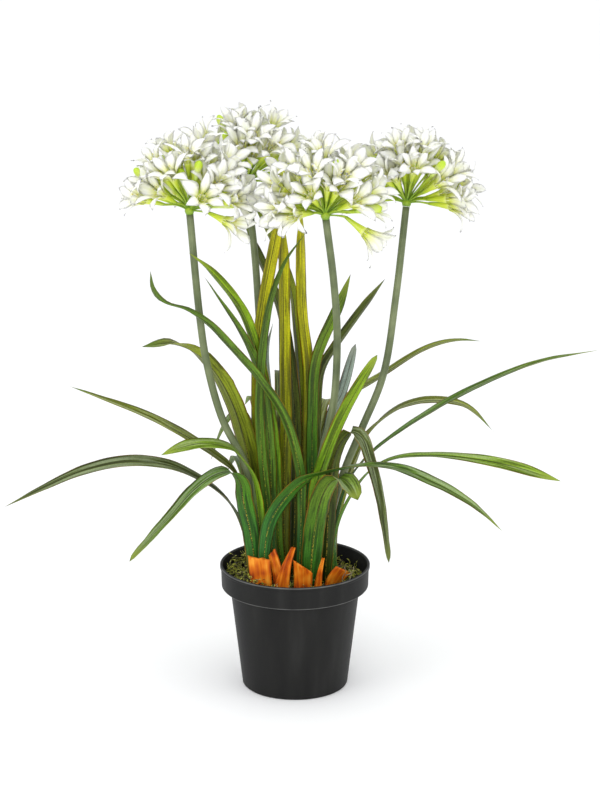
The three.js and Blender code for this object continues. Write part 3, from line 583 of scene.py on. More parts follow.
# Each leaf's line runs from its place on the soil to its tip. Its facing at foot and tip, its roll and its
# twist near the tip are in degrees, and its foot is a share of its width. Some wear another look's skin.
leaves = [
    # Front, low and broad.
    dict(width=21, foot=0.75, facing=(12, -62), roll=-15, tip="strap", look="leaf_green", wave=1.7, line=[
        (-43, -34), (-48, -42, 185), (-57, -52, 235), (-60, -57, 257), (-70, -61, 269), (-86, -65, 268),
        (-109, -73, 254), (-136, -84, 226), (-164, -97, 198), (-180, -105, 181)]),
    dict(width=16, facing=(5, -60), roll=-30, tip="lance", look="leaf_green", skin="leaf_bright", wave=0.7,
         line=[
        (-33, -27), (-38, -34, 176), (-45, -48, 253), (-54, -52, 276), (-70, -56, 295), (-101, -64, 303),
        (-124, -69, 300), (-146, -74, 293)]),
    dict(width=19, facing=(-5, 75), twist=30, tip="point", look="leaf_green", wave=0.9, line=[
        (-34, -41), (-33, -47, 180), (-24, -52, 216), (9, -60, 258), (39, -65, 271), (74, -69, 279),
        (110, -71, 277), (152, -75, 262), (192, -79, 240), (228, -85, 209)]),
    dict(width=24, foot=0.85, facing=(0, 15), tip="blunt", look="leaf_green", wave=1.2, line=[
        (17, -39), (20, -50, 181), (26, -61, 226), (33, -68, 251), (42, -72, 264), (53, -76, 266),
        (61, -79, 260), (69, -85, 245)]),
    dict(width=12, facing=(-8, -30), tip="lance", look="leaf_deep", line=[
        (4, -33), (6, -38, 177), (7, -43, 220), (6, -46, 262), (-10, -50, 326), (-36, -55, 371),
        (-63, -60, 405), (-94, -64, 439), (-117, -68, 455), (-142, -72, 465), (-152, -75, 480),
        (-154, -78, 500)]),
    # Left.
    dict(width=17, facing=(-60, -72), roll=-32, tip="point", look="leaf_dark", line=[
        (-50, -24), (-53, -26, 165), (-73, -30, 224), (-121, -33, 261), (-149, -35, 271),
        (-188, -37, 274), (-232, -39, 265), (-277, -42, 246), (-322, -45, 224)]),
    dict(width=16, facing=(-70, -75), roll=-30, tip="point", look="leaf_olive", line=[
        (-43, -15), (-48, -17, 176), (-67, -21, 255), (-88, -22, 276), (-154, -25, 319),
        (-220, -29, 348), (-248, -30, 359)]),
    dict(width=26, foot=0.5, facing=(0, -30), roll=-10, tip="lance", look="leaf_olive", wave=1.0, line=[
        (-41, -5), (-44, -6, 172), (-47, -6, 235), (-56, -7, 290), (-71, -9, 338), (-89, -10, 371),
        (-110, -10, 392), (-135, -11, 402), (-168, -12, 399)]),
    dict(width=13, facing=(0, -25), tip="lance", look="leaf_bright", line=[
        (-13, -12), (-18, -14, 175), (-23, -17, 285), (-32, -23, 351), (-54, -42, 441), (-89, -58, 494),
        (-113, -70, 518)]),
    dict(width=13, facing=(0, -25), tip="point", look="leaf_deep", line=[
        (-20, -20), (-25, -22, 177), (-28, -25, 285), (-36, -30, 362), (-51, -42, 410),
        (-97, -60, 489)]),
    dict(width=13, facing=(-20, -75), roll=-20, tip="point", look="leaf_green", line=[
        (-34, 14), (-38, 17, 164), (-41, 21, 246), (-48, 25, 298), (-58, 26, 313), (-69, 26, 311),
        (-82, 28, 292), (-95, 30, 256)]),
    # Upright centre.
    dict(width=11, facing=(0, 25), tip="point", look="leaf_deep", line=[
        (-19, -30), (-26, -33, 180), (-38, -37, 307), (-38, -40, 363), (-33, -38, 419), (-25, -28, 459),
        (-11, -12, 494), (13, 0, 526)]),
    dict(width=14, facing=(12, -25), tip="lance", look="leaf_yellow", line=[
        (-27, -4), (-33, -1, 171), (-40, 3, 253), (-42, 4, 334), (-39, 6, 414), (-13, 8, 561)]),
    dict(width=15, facing=(-20, -32), tip="lance", look="leaf_yellow", line=[
        (-9, -9), (-12, -6, 172), (-11, 2, 305), (-12, 7, 386), (-13, 16, 534)]),
    dict(width=14, facing=(-4, 40), tip="lance", look="leaf_yellow", line=[
        (13, 6), (12, 7, 168), (16, 11, 285), (16, 13, 366), (9, 15, 432), (7, 18, 550)]),
    dict(width=14, facing=(-32, -50), tip="lance", look="leaf_olive", line=[
        (5, 14), (8, 16, 165), (8, 29, 303), (2, 41, 399), (-6, 49, 458), (-50, 64, 554)]),
    dict(width=14, facing=(-10, -50), tip="lance", look="leaf_dark", line=[
        (-3, 2), (-1, 4, 169), (1, 17, 284), (-4, 31, 361), (-17, 50, 426), (-59, 96, 520)]),
    dict(width=13, facing=(0, 20), tip="lance", look="leaf_green", line=[
        (18, -7), (19, -4, 170), (20, 3, 319), (25, 12, 381), (50, 26, 438), (62, 32, 471)]),
    dict(width=14, facing=(25, 40), tip="lance", look="leaf_olive", skin="leaf_dark", line=[
        (25, 5), (25, 8, 167), (25, 25, 316), (30, 31, 361), (46, 35, 388), (101, 48, 462)]),
    dict(width=13, facing=(0, 20), tip="blunt", look="leaf_grey", line=[
        (26, 15), (32, 18, 163), (41, 28, 306), (54, 31, 338), (68, 36, 390)]),
    dict(width=15, facing=(0, 20), tip="blunt", look="leaf_bright", line=[
        (18, -28), (22, -35, 176), (23, -46, 244), (34, -53, 286), (54, -64, 339), (89, -80, 408)]),
    dict(width=12, facing=(0, 5), tip="point", look="leaf_grey", line=[
        (-18, -1), (-23, 1, 170), (-30, 8, 332), (-31, 11, 389), (-24, 12, 421)]),
    dict(width=12, facing=(0, 5), tip="blunt", look="leaf_yellow", line=[
        (-5, 24), (-5, 25, 162), (-4, 27, 280), (-3, 28, 314)]),
    # Right.
    dict(width=16, facing=(20, 68), roll=35, tip="point", look="leaf_olive", line=[
        (29, 24), (26, 29, 184), (31, 36, 277), (46, 40, 314), (96, 45, 349), (152, 50, 383),
        (184, 53, 390), (211, 55, 388)]),
    dict(width=13, facing=(55, 78), roll=25, tip="point", look="leaf_green", line=[
        (47, -2), (46, -6, 184), (61, -9, 244), (84, -12, 275), (155, -17, 329), (215, -22, 363),
        (269, -26, 386), (332, -30, 400)]),
    dict(width=19, facing=(15, 68), roll=20, tip="point", look="leaf_olive", wave=1.0, line=[
        (43, 11), (43, 17, 178), (58, 23, 233), (83, 28, 287), (105, 31, 308), (132, 33, 321),
        (163, 35, 324), (193, 37, 317), (225, 38, 287)]),
    dict(width=13, facing=(60, 62), roll=10, twist=40, tip="lance", look="leaf_green", skin="leaf_bright",
         line=[
        (44, -13), (44, -14, 169), (56, -15, 213), (85, -16, 258), (111, -16, 271), (150, -17, 275),
        (195, -18, 272), (240, -19, 264), (297, -20, 246)]),
    dict(width=20, facing=(0, 40), tip="strap", look="leaf_deep", skin="leaf_dark", wave=1.0, line=[
        (34, -22), (36, -28, 176), (38, -36, 232), (42, -44, 276), (51, -48, 301), (62, -49, 312),
        (73, -48, 306), (82, -49, 281), (94, -54, 233), (104, -66, 166)]),
    # Back.
    dict(width=18, facing=(185, 205), tip="point", look="leaf_green", line=[
        (-24, 32), (-28, 48, 190), (-36, 84, 268), (-48, 132, 300), (-60, 186, 276)]),
    dict(width=17, facing=(180, 185), tip="point", look="leaf_dark", line=[
        (-10, 38), (-12, 54, 190), (-14, 94, 276), (-18, 150, 324), (-24, 215, 304)]),
    dict(width=19, facing=(175, 165), tip="point", look="leaf_olive", line=[
        (12, 34), (16, 50, 200), (24, 88, 274), (34, 134, 296), (44, 190, 270)]),
    dict(width=17, facing=(170, 155), tip="point", look="leaf_green", line=[
        (30, 38), (34, 56, 180), (42, 94, 236), (50, 140, 250), (58, 190, 222)]),
    dict(width=17, facing=(190, 215), tip="point", look="leaf_deep", line=[
        (-42, 30), (-46, 50, 172), (-56, 88, 218), (-68, 134, 228), (-80, 184, 196)]),
    dict(width=20, facing=(180, 180), tip="blunt", look="leaf_bright", line=[
        (2, 46), (2, 62, 180), (4, 100, 240), (6, 150, 250), (8, 205, 205)]),
]

# Where each kind of tip starts to narrow, as a share of the length, and how it narrows from there.
leaf_tips = {
    "lance": (0.88, lambda x: 1 - x**1.6),
    "point": (0.58, lambda x: 1 - x**1.8),
    "strap": (0.4, lambda x: (1 - 0.6 * x) * math.sqrt(1 - x**24)),
    "blunt": (0.6, lambda x: math.sqrt(1 - x**5)),
}


def blade(u):
    """Where share u round a thin blade lies across it, from -1 to 1, and which face it is on."""
    across = 4 * u - 1 if u <= 0.5 else 3 - 4 * u
    return math.copysign(abs(across) ** COLUMN_CROWDING, across), 1 if u < 0.5 else -1


def make_leaf(name, leaf, seed):
    """A strap leaf along its line. Its seed draws the waves and nicks of its edges."""
    points = rooted(leaf["line"])
    length = sum((q - p).length for p, q in zip(points, points[1:]))
    rows = round(length / LEAF_STEP)
    start, narrow = leaf_tips[leaf["tip"]]
    foot = leaf.get("foot", LEAF_ROOT_SHARE)
    wave = leaf.get("wave", WAVE)
    first, last = leaf["facing"]
    frames = []
    for centre, along, share in stations(points, rows):
        angle = math.radians(first + (last - first) * smooth(share, 0, 1))
        side = polar(1, angle)
        side = (side - along * side.dot(along)).normalized()
        roll = leaf.get("roll", 0) * smooth(share, 0.1, 0.6) + leaf.get("twist", 0) * smooth(share, 0.6, 0.85)
        side = Quaternion(along, math.radians(roll)) @ side
        body = foot + (1 - foot) * smooth(share, 0, 0.4)
        half = leaf["width"] / 2 * body * narrow(min(max((share - start) / (1 - start), 0), 1))
        frames.append((centre, side, along.cross(side), half, share))

    def place(u, v):
        centre, side, upper, half, share = frames[round(v * rows)]
        across, face = blade(u)
        edge = abs(across)
        ripple = noise.noise(Vector((share * length / WAVE_LENGTH, math.copysign(3.7, across), seed)))
        nick = noise.noise(Vector((share * length / NICK_LENGTH, math.copysign(9.1, across), seed)))
        lift = 2 * half * LEAF_CREASE * edge + wave * ripple * edge**2 * smooth(share, 0.15, 0.4)
        flesh = (LEAF_EDGE + RIB * math.exp(-((across / RIB_WIDTH) ** 2))) * min(1, 4 * (1 - edge))
        groove = GROOVE * math.exp(-((across / GROOVE_WIDTH) ** 2)) if face > 0 else 0
        width = half * (1 + NICK * nick * min(wave, 1.2)) * across
        height = lift + face * flesh * min(1, half / 3) - groove * min(1, half / 5)
        return centre + side * width + upper * height

    return skin(name, LEAF_COLUMNS, rows, place)


def across_blade(add, around):
    """Where a share round a blade lies across it, from -1 to 1, and how far that is from its middle."""
    folded = add("Math", {0: around, 1: 4.0}, operation="MULTIPLY")
    swing = add("Math", {0: folded, 1: 2.0}, operation="PINGPONG")
    across = add("Math", {0: swing, 1: 1.0}, operation="SUBTRACT")
    return across, add("Math", {0: across}, operation="ABSOLUTE")


def leaf_skin(name, low, middle, high, waxy, tip):
    """Fleshy leaf skin, satin: close parallel veins, speckled, its colour going from foot to tip.

    About ten veins a face, each a millimetre or so wide, among two or three broad dark bands. Below, a thin
    brown rib with ochre specks. Above, painted shade darkens the groove, and a painted sheen grows paler
    along the leaf. One half of the blade is darkened with painted shade, and the margins are thin and rusty
    in places.
    """
    material, add, surface = new_material(name)
    uv = add("UVMap", uv_map="UVMap")
    place = add("TexCoord").outputs["Object"]
    around, along = add("SeparateXYZ", {0: uv}).outputs[:2]
    across, edge = across_blade(add, around)
    under = add("Math", {0: around, 1: 0.5}, operation="GREATER_THAN")
    upper = add("Math", {0: 1.0, 1: under}, operation="SUBTRACT")

    speckle = add("TexNoise", {"Vector": place, "Scale": 1 / (1.6 * MM), "Detail": 3})
    patches = add("TexNoise", {"Vector": place, "Scale": 1 / (45 * MM), "Detail": 3})
    wander = add("TexNoise", {"Vector": place, "Scale": 1 / (240 * MM), "Detail": 0})
    shift = add("Math", {0: wander, 1: 2, 2: under}, operation="MULTIPLY_ADD")
    vein_place = add("CombineXYZ", {"X": across, "Y": along, "Z": shift})
    vein_scale = add("Mapping", {"Vector": vein_place, "Scale": (10, 5, 7)})
    veins = add("TexNoise", {"Vector": vein_scale, "Scale": 1, "Detail": 4})
    band_scale = add("Mapping", {"Vector": vein_place, "Scale": (3.4, 2, 5)})
    bands = add("TexNoise", {"Vector": band_scale, "Scale": 1, "Detail": 2})
    drift = add("Math", {0: patches, 1: 0.5, 2: along}, operation="MULTIPLY_ADD")
    growth = add("Math", {0: drift, 1: 0.25}, operation="SUBTRACT")
    body = add("ValToRGB", {0: growth}, stops=[(0.05, low), (0.4, middle), (0.9, high)])

    # Each share goes from its third number to its fourth while what it follows goes from the first to the
    # second.
    share = {
        part: add("MapRange", dict(enumerate(values)), interpolation_type=rise)
        for part, rise, *values in [
            ("bloom", "SMOOTHSTEP", growth, 0.15, 0.5, 0.0, 0.5),
            ("bloom_streaks", "SMOOTHSTEP", bands, 0.47, 0.62, 0.1, 1.0),
            ("veins", "LINEAR", veins, 0.36, 0.64, 0.68, 1.36),
            ("speckle", "LINEAR", speckle, 0.3, 0.7, 0.8, 1.2),
            ("bands", "SMOOTHSTEP", bands, 0.36, 0.52, 0.48, 1.12),
            # Painted shade: one half of the blade is darker than the other, as the fold would shade it.
            ("halves", "SMOOTHSTEP", across, -0.25, 0.25, 0.7, 0.91),
            # The dark middle line: a brown rib below, and painted shade in the groove above.
            ("rib", "SMOOTHSTEP", edge, 0.06, 0.18, 0.75, 0.0),
            ("ochre", "LINEAR", speckle, 0.48, 0.56, 0.0, 1.0),
            ("near_foot", "SMOOTHSTEP", along, 0.3, 0.55, 1.0, 0.15),
            ("margin", "SMOOTHSTEP", edge, 0.9, 0.99, 0.0, 0.85),
            ("rust", "LINEAR", patches, 0.4, 0.6, 0.15, 1.0),
            ("tip", "SMOOTHSTEP", along, 0.91, 0.98, 0.0, 0.8),
        ]
    }
    # A painted sheen: the upper face is washed pale in streaks, more so along the leaf.
    bloom_above = add("Math", {0: share["bloom"], 1: upper}, operation="MULTIPLY")
    bloom = add("Math", {0: bloom_above, 1: share["bloom_streaks"]}, operation="MULTIPLY")
    fine_depth = add("Math", {0: share["veins"], 1: share["speckle"]}, operation="MULTIPLY")
    # The broad bands, and the painted shade over one half of the blade.
    broad_depth = add("Math", {0: share["bands"], 1: share["halves"]}, operation="MULTIPLY")
    depth = add("Math", {0: fine_depth, 1: broad_depth}, operation="MULTIPLY")
    low_specks = add("Math", {0: share["ochre"], 1: share["near_foot"]}, operation="MULTIPLY")
    specks = add("Math", {0: low_specks, 1: under}, operation="MULTIPLY")
    margin = add("Math", {0: share["margin"], 1: share["rust"]}, operation="MULTIPLY")

    # The colours are laid over each other: the painted sheen, the veins' depth with one half in painted
    # shade, the rib with painted shade in the groove above it, the margin and the tip.
    bloomed = add("Mix", {0: bloom, 6: body, 7: linear(waxy)}, data_type="RGBA").outputs[2]
    colour = add("VectorMath", {0: bloomed, "Scale": depth}, operation="SCALE")
    # Dark in the middle of both faces, as the brown rib below and as painted shade in the groove above; ochre
    # specks below only.
    rib_colours = {0: specks, 6: linear("#26280e"), 7: linear("#a48e2c")}
    rib = add("Mix", rib_colours, data_type="RGBA").outputs[2]
    for part, layer in ((share["rib"], rib), (margin, linear("#a8741c")), (share["tip"], linear(tip))):
        colour = add("Mix", {0: part, 6: colour, 7: layer}, data_type="RGBA").outputs[2]
    gloss = add("MapRange", {0: veins, 3: 0.34, 4: 0.56})
    bump = add("Bump", {"Height": veins, "Strength": 0.5, "Distance": 0.5 * MM})
    surface({"Base Color": colour, "Roughness": gloss, "Normal": bump})
    surface({"IOR": 1.45, "Specular IOR Level": 0.2})
    return material


# Of each kind: its colours at the foot, in the middle and at the end, of its painted sheen and of its very
# tip.
leaf_colours = {
    "leaf_green": ("#2c6c2e", "#3b6810", "#637e1c", "#94a080", "#7e8c30"),
    "leaf_deep": ("#165224", "#4e701a", "#567222", "#8fa07c", "#546828"),
    "leaf_dark": ("#20360c", "#485412", "#525e22", "#94a080", "#646e34"),
    "leaf_olive": ("#5c6c10", "#626e06", "#828e26", "#989e80", "#566f1f"),
    "leaf_bright": ("#426c22", "#648c16", "#7a9818", "#9aa678", "#8a9c30"),
    "leaf_yellow": ("#263606", "#727a08", "#b4b00c", "#a0a24a", "#9a9c1c"),
    "leaf_grey": ("#4a7040", "#7c8e70", "#8c9a8e", "#9aa89c", "#8c9282"),
}
leaf_looks = {
    look: leaf_skin(look.replace("leaf", "leaf_skin"), *colours) for look, colours in leaf_colours.items()
}

for number, leaf in enumerate(leaves, 1):
    strap = make_leaf(f"strap_leaf_{number:02d}", leaf, number * 1.37)
    strap.data.materials.append(leaf_looks[leaf.get("skin", leaf["look"])])
    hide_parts(f"leaf_{number:02d}")
    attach(strap, "root")


# ------------ Dried leaf bases ------------
# Six papery remains of last year's leaves, curled round the crown and torn off near the soil. Each is a thin
# strip bent round an upright axis, with ribs along it, turned-back edges and a torn top.

DRIED_THICKNESS = 0.7
DRIED_FOOT = 117
DRIED_COLUMNS = 28
DRIED_ROWS = 18
TEAR = 0.05
RIBS = 0.15
FOLD = 3.2
CURL = 1.8

# Each foot's place, the way it faces in degrees, the radius of its bend, its widths at foot and top, and how
# far its top leans out and aside. The slant is the fall of its torn edge.
dried_bases = [
    dict(foot=(-38, -51), angle=-95, radius=26, width=(25, 22), height=50, lean=3, skew=-2, slant=-0.03),
    dict(foot=(-17, -49), angle=-104, radius=22, width=(18, 7), height=56, lean=1, skew=-8, slant=0.1),
    dict(foot=(-15, -53), angle=-90, radius=30, width=(21, 5), height=63, lean=2, skew=12, slant=0),
    dict(foot=(9, -52), angle=-90, radius=22, width=(21, 16), height=42, lean=6, skew=0, slant=-0.18),
    dict(foot=(25, -50), angle=-80, radius=26, width=(11, 3), height=49, lean=3, skew=5, slant=0),
    dict(foot=(42, -36), angle=-55, radius=20, width=(22, 20), height=30, lean=10, skew=8, slant=-0.3),
]


def make_dried_base(name, base, seed):
    """A torn, folded strip bent round an upright axis. Its seed draws the tear and the folds."""
    facing = math.radians(base["angle"])
    axis = Vector((*base["foot"], DRIED_FOOT)) - polar(base["radius"], facing)

    def place(u, v):
        across, face = blade(u)
        torn = TEAR * noise.noise(Vector((across * 3.1, seed, 0))) * smooth(v, 0.6, 1)
        height = base["height"] * (v * (1 + base["slant"] * across) + torn)
        width = base["width"][0] + (base["width"][1] - base["width"][0]) * v
        turn = facing + (across * width / 2 + base["skew"] * v * v) / base["radius"]
        ribs = RIBS * math.sin(across * 10 + seed)
        folds = FOLD * noise.noise(Vector((across * 1.7, v * 1.1, seed)))
        curl = CURL * abs(across) ** 3 * smooth(v, 0.1, 1)
        thick = face * DRIED_THICKNESS / 2 * min(1, 6 * (1 - abs(across)))
        radius = base["radius"] + base["lean"] * v * v + ribs + folds + curl + thick
        return axis + polar(radius, turn, height)

    return skin(name, DRIED_COLUMNS, DRIED_ROWS, place)


# Dead leaf tissue: papery and satin, rust-orange with straw and dark red streaks a millimetre or two wide.
papery, add, surface = new_material("papery_dead_leaf")
uv = add("UVMap", uv_map="UVMap")
place = add("TexCoord").outputs["Object"]
streak_place = add("Mapping", {"Vector": uv, "Scale": (12, 0.8, 1)})
streaks = add("TexNoise", {"Vector": streak_place, "Scale": 1, "Detail": 3})
blotches = add("TexNoise", {"Vector": place, "Scale": 1 / (17 * MM), "Detail": 1})
mixed = add("Math", {0: streaks, 1: blotches}, operation="ADD")
half = add("Math", {0: mixed, 1: 0.5}, operation="MULTIPLY")
tint = add("ValToRGB", {0: half}, stops=[
    (0.36, "#7a2402"), (0.44, "#b85004"), (0.52, "#d66e06"), (0.62, "#ec9a2c")])
bump = add("Bump", {"Height": streaks, "Strength": 0.4, "Distance": 0.6 * MM})
surface({"Base Color": tint, "Normal": bump, "Roughness": 0.6, "Specular IOR Level": 0.25})

for number, base in enumerate(dried_bases, 1):
    husk = make_dried_base(f"papery_base_{number}", base, number * 2.3)
    husk.data.materials.append(papery)
    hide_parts(f"dried_base_{number}")
    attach(husk, "root")


# ------------ Flower heads ------------
# Four umbels: from the swollen end of each scape spring thin green stalks, each with a white floret of six
# lobes on a tube, or a closed bud. A few kinds of floret are copied to the places that a golden-angle rule
# gives, in an outer and an inner layer, and to some listed one by one that fill the front or hang lower.

GOLDEN_ANGLE = math.pi * (3 - math.sqrt(5))
LOWEST = math.radians(84)
PARTING = 0.65
FLORETS = 22
INNER_FLORETS = 16
INNER_REACH = 0.86
PLACED_SIZE = 1.12
FLORET_KINDS = 8
TUBE_LENGTH = 25
LOBE_LENGTH = 33
LOBE_RISE = 0.7
LOBE_FOOT = 22
BUD_LENGTH = 30
BUD_INSET = 8
STALK_RADIUS = 1.0
HUB_GAP = 0.3
HUB_HEIGHT = 4

# How far a lobe spreads and rises, as shares of its length, and half its width.
OUTER_LOBE = (0.52, 0.76, 6.2)
INNER_LOBE = (0.62, 0.62, 7.4)

# Each listed stalk: azimuth, elevation and droop in degrees, and whether it carries a bud.
umbels = [
    dict(reach=72, shift=(0, -4, 15), spin=0.3, seed=11,
         hand_placed=[(-72, 24, 0, False), (-38, 2, 16, False), (-50, 34, 0, False), (-20, 18, 6, False)]),
    dict(reach=72, shift=(2, 4, 20), spin=1.4, seed=23,
         hand_placed=[(-30, 6, 12, False), (20, -2, 8, False), (-112, 26, 0, False), (-150, 16, 6, False)]),
    dict(reach=68, shift=(-3, -4, 20), spin=2.2, seed=37,
         hand_placed=[(-10, -3, 34, False), (-128, 14, 8, False), (-14, 10, 0, True), (-112, 34, 0, False),
                      (-150, 10, 10, False), (-70, 44, 0, False)]),
    dict(reach=71, shift=(6, 0, 17), spin=0.9, seed=41,
         hand_placed=[(-18, 2, 4, False), (198, 10, 0, False), (172, 42, 0, True), (-40, 32, 0, False),
                      (-24, 14, 8, False)]),
]


def draw(index, channel):
    """A repeatable draw between -1 and 1."""
    value = math.sin(index * 12.9898 + channel * 78.233) * 43758.5453
    return 2 * (value - math.floor(value)) - 1


def turned(outline, columns, name, level=lambda v: v):
    """A closed turned form round Z from its outline of radii and heights."""
    rows = len(outline) - 1

    def place(u, v):
        radius, height = outline[round(v * rows)]
        return polar(radius, u * math.tau, height)

    return skin(name, columns, rows, place, level)


def make_lobe(number, seed):
    """One spreading lobe of a floret, narrow at its foot, widest past the middle and bent back at its tip."""
    angle = (number + 0.5) / 6 * math.tau
    out, side = polar(1, angle), polar(1, angle + math.pi / 2)
    spread, rise, half = INNER_LOBE if number % 2 else OUTER_LOBE
    spread *= LOBE_LENGTH * (1 + 0.24 * draw(seed, number))
    rise *= LOBE_LENGTH * (1 + 0.08 * draw(seed, number + 10))
    half *= 1 + 0.14 * draw(seed, number + 20)
    twist = 0.7 * draw(seed, number + 30)
    droop = 4 + 3.5 * draw(seed, number + 40)

    def middle(t):
        away = 4.2 + spread * (0.3 * t + 0.7 * t * t)
        height = LOBE_FOOT + (rise + 3) * (1.65 * t - 0.65 * t * t) - droop * t**3
        return out * away + Vector((0, 0, height))

    def place(u, v):
        across, face = blade(u)
        centre = middle(v)
        along = (middle(v + 0.01) - middle(v - 0.01)).normalized()
        lean = Quaternion(along, twist * v) @ side
        inwards = along.cross(lean)
        width = half * (0.32 + 0.68 * smooth(v, 0, 0.62)) * (1 - max((v - 0.46) / 0.54, 0) ** 1.9) ** 0.9
        cup = 0.25 * width * across**2 * (1 - v)
        frill = 0.9 * math.sin(8 * v + seed + 1.6 * across) * across**2 * v
        keel = 0.35 * math.exp(-((across / 0.25) ** 2))
        thick = 0.3 * face * min(1, 5 * (1 - abs(across))) * min(1, width / 1.5)
        return centre + lean * across * width + inwards * (keel + thick - cup - frill)

    return skin("lobe", 8, 7, place, lambda v: 0.27 + 0.73 * v)


def make_floret(seed):
    """A floret with its foot at the origin, looking along Z: its tube, six lobes and five stamens."""
    outline = [(1.5, 0), (2, 4), (2.6, 11), (3.7, 18), (5, TUBE_LENGTH), (4.4, 25.2), (3.2, LOBE_FOOT),
               (1.6, 19.5), (0.3, 18.5)]
    pieces = [turned(outline, 12, "floret_tube", lambda v: 0.45 * outline[round(v * 8)][1] / TUBE_LENGTH)]
    pieces += [make_lobe(number, seed) for number in range(6)]
    for piece in pieces:
        piece.data.materials.append(petal)
    for number in range(5):
        angle = number / 5 * math.tau + 0.4 * draw(seed, number + 50)
        top = 33 + 3 * draw(seed, number + 60)
        line = [Vector((0, 0, 12)), polar(1.4, angle, LOBE_FOOT), polar(4.2, angle, top)]
        filament = tube("filament", line, 3, 4, lambda u, v: 0.34)
        filament.data.materials.append(petal)
        anther = turned([(0.3, 0), (0.75, 0.6), (0.75, 1.9), (0.3, 2.5)], 4, "anther")
        anther.data.transform(Matrix.Translation(line[-1] * MM))
        anther.data.materials.append(pollen)
        pieces += [filament, anther]
    return join("floret_kind", pieces)


# Petal: thin white tissue that light passes into, cream at the throat and yellow-green down its tube, with a
# faint greenish line along the middle of each lobe and fine lengthwise veins.
petal, add, surface = new_material("white_petal")
uv = add("UVMap", uv_map="UVMap")
around, along = add("SeparateXYZ", {0: uv}).outputs[:2]
across, edge = across_blade(add, around)
vein_place = add("Mapping", {"Vector": uv, "Scale": (40, 2, 1)})
veins = add("TexNoise", {"Vector": vein_place, "Scale": 1, "Detail": 3})
body = add("ValToRGB", {0: along}, stops=[
    (0.0, "#9ab81c"), (0.18, "#c0d22c"), (0.34, "#d0dc48"),
    (0.46, "#edeeb8"), (0.6, "#f3f3e4"), (0.95, "#f2f2ec")])
middle = add("MapRange", {0: edge, 1: 0.05, 2: 0.35, 3: 0.3, 4: 0}, interpolation_type="SMOOTHSTEP")
faded = add("MapRange", {0: along, 1: 0.5, 2: 0.9, 3: 1, 4: 0})
line_mix = add("Math", {0: middle, 1: faded}, operation="MULTIPLY")
lined = add("Mix", {0: line_mix, 6: body, 7: linear("#dbe58e")}, data_type="RGBA").outputs[2]
vein_depth = add("MapRange", {0: veins, 1: 0.3, 2: 0.7, 3: 0.97, 4: 1})
veined = add("VectorMath", {0: lined, "Scale": vein_depth}, operation="SCALE")
bump = add("Bump", {"Height": veins, "Strength": 0.3, "Distance": 0.3 * MM})
surface({"Base Color": veined, "Normal": bump, "Roughness": 0.5, "Subsurface Weight": 0.5})
surface({"Subsurface Radius": (1.0, 0.98, 0.88), "Subsurface Scale": 2 * MM})

# Bud: the same tissue still closed, pale at its foot and yellow-green towards its tip, satin.
bud_skin, add, surface = new_material("closed_bud")
uv = add("UVMap", uv_map="UVMap")
along = add("SeparateXYZ", {0: uv}).outputs[1]
seam_place = add("Mapping", {"Vector": uv, "Scale": (12, 2, 1)})
seams = add("TexNoise", {"Vector": seam_place, "Scale": 1, "Detail": 3})
drift = add("Math", {0: seams, 1: 0.3, 2: along}, operation="MULTIPLY_ADD")
tint = add("ValToRGB", {0: drift}, stops=[
    (0.12, "#8fb42a"), (0.3, "#c6d96a"), (0.55, "#dfe8a4"), (0.8, "#c8dc48"), (1.0, "#b2d02a")])
surface({"Base Color": tint, "Roughness": 0.45, "Subsurface Weight": 0.2})
surface({"Subsurface Radius": (0.9, 1.0, 0.4), "Subsurface Scale": 2 * MM})

# Floret stalks and hub: juicy bright green stem skin, darker where it leaves the hub.
stalk_skin, add, surface = new_material("floret_stalk_skin")
uv = add("UVMap", uv_map="UVMap")
place = add("TexCoord").outputs["Object"]
along = add("SeparateXYZ", {0: uv}).outputs[1]
mottle = add("TexNoise", {"Vector": place, "Scale": 1 / (6 * MM), "Detail": 3})
drift = add("Math", {0: mottle, 1: 0.4, 2: along}, operation="MULTIPLY_ADD")
tint = add("ValToRGB", {0: drift}, stops=[(0.15, "#557c18"), (0.5, "#7c9f20"), (1.0, "#a4bc2c")])
surface({"Base Color": tint, "Roughness": 0.45})

# Pollen: dull ochre dust on the anthers.
pollen, add, surface = new_material("pollen")
place = add("TexCoord").outputs["Object"]
dust = add("TexNoise", {"Vector": place, "Scale": 1 / (0.8 * MM), "Detail": 2})
tint = add("ValToRGB", {0: dust}, stops=[(0.35, "#cfc458"), (0.65, "#e8e29a")])
surface({"Base Color": tint, "Roughness": 0.9})

floret_kinds = [make_floret(seed + 3) for seed in range(FLORET_KINDS)]
bud_outline = [(1.3, 0), (1.7, 3), (2.4, 9), (3.5, 15), (4.4, 20), (4.6, 24), (3.9, 27.2), (2.3, 29.4),
               (0.7, BUD_LENGTH + 0.4)]
bud_kind = turned(bud_outline, 12, "bud_kind")
bud_kind.data.materials.append(bud_skin)


def spread_florets(umbel, count, spin, first_seed, size):
    """Florets spread over a ball by the golden-angle rule. At the front they part, so that the hub shows."""
    found = []
    for i in range(count):
        seed = first_seed + i
        even = 1 - (1 - math.cos(LOWEST)) * ((i + 0.5) / count)
        azimuth = spin + i * GOLDEN_ANGLE + 0.18 * draw(seed, 1)
        rise = even + (1 - even) * PARTING * smooth(-math.sin(azimuth), 0.5, 0.9)
        direction = polar(math.sqrt(1 - rise * rise), azimuth, rise)
        reach = (umbel["reach"] + Vector(umbel["shift"]).dot(direction) + 5 * draw(seed, 2)) * size
        found.append((direction, 0, reach, i % 6 == 3, 1, seed))
    return found


def floret_places(umbel):
    """Direction, droop, reach and kind of each floret of a head: both layers, then those listed one by one.
    """
    found = spread_florets(umbel, FLORETS, umbel["spin"], umbel["seed"], 1)
    found += spread_florets(umbel, INNER_FLORETS, umbel["spin"] + 1.3, umbel["seed"] + 90, INNER_REACH)
    for i, (azimuth, elevation, droop, is_bud) in enumerate(umbel["hand_placed"]):
        rise = math.radians(elevation)
        direction = polar(math.cos(rise), math.radians(azimuth), math.sin(rise))
        found.append((direction, droop, umbel["reach"] + 2, is_bud, PLACED_SIZE, umbel["seed"] + 60 + i))
    return found


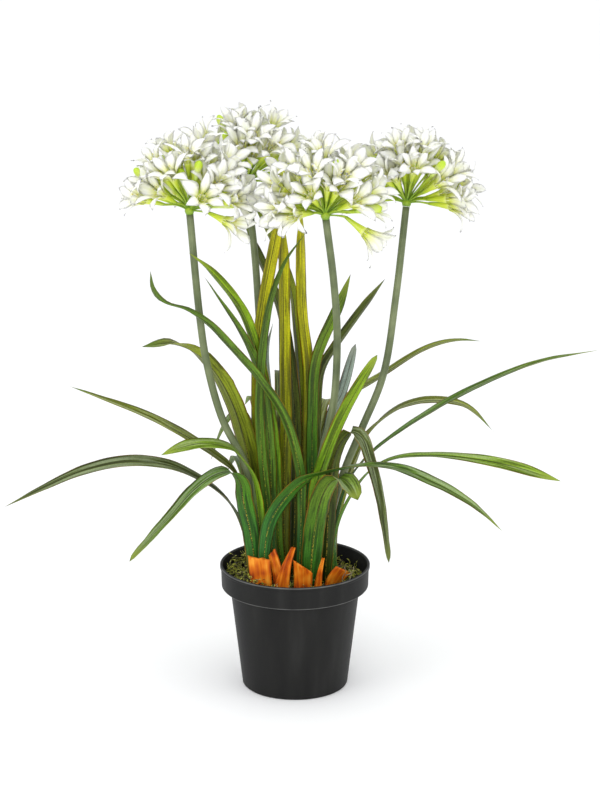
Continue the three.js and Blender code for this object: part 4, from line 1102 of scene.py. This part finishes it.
def placed(foot, axis, hint):
    """Puts a form's foot at a point and its Z along an axis, with its X as near the hint as can be."""
    first = (hint - axis * hint.dot(axis)).normalized()
    return Matrix.Translation(foot * MM) @ Matrix((first, axis.cross(first), axis)).transposed().to_4x4()


def make_umbel(name, umbel, line):
    """A head on the end of its scape's line: the hub, and a stalk with a floret or a bud to each place."""
    points = rooted(line)
    end = curve_point(points, 1)
    along = (end - curve_point(points, 0.9999)).normalized()
    foot = end + along * HUB_GAP
    hub = foot + along * HUB_HEIGHT
    receptacle = turned([(4.1, 0), (4.6, 1.2), (5.2, 3), (4.8, 5.4), (3.4, 7.6), (1.2, 9)], 16, "receptacle")
    receptacle.data.transform(placed(foot, along, Vector((1, 0, 0))))
    receptacle.data.materials.append(stalk_skin)
    pieces = [receptacle]
    for direction, droop, reach, is_bud, size, seed in floret_places(umbel):
        level = Vector((direction.y, -direction.x, 0)).normalized()
        axis = Quaternion(level, math.radians(-droop)) @ direction
        lobe = LOBE_LENGTH + 2 * draw(seed, 3)
        stalk = reach - (BUD_LENGTH + BUD_INSET if is_bud else TUBE_LENGTH + lobe * LOBE_RISE)
        joint = hub + direction * stalk
        turn = placed(joint, axis, polar(1, 3 * draw(seed, 4), 0.37))
        kind = bud_kind if is_bud else floret_kinds[seed % FLORET_KINDS]
        if not is_bud:
            size *= lobe / LOBE_LENGTH
        pieces.append(copy_of(kind, turn @ Matrix.Scale(size, 4)))
        bow = Vector((0, 0, 1.5 + 1.2 * draw(seed, 5)))
        bend = [hub, hub + direction * stalk * 0.5 + bow, joint, joint + axis * 2]
        pedicel = tube("pedicel", bend, 6, 8, lambda u, v: STALK_RADIUS * (1 + 0.6 * v**4))
        pedicel.data.materials.append(stalk_skin)
        pieces.append(pedicel)
    return join(name, pieces)


for number, (umbel, line) in enumerate(zip(umbels, scape_lines), 1):
    head = make_umbel(f"flower_head_{number}", umbel, line)
    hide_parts(f"umbel_{number}")
    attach(head, "root")
for kind in (*floret_kinds, bud_kind):
    bpy.data.objects.remove(kind)
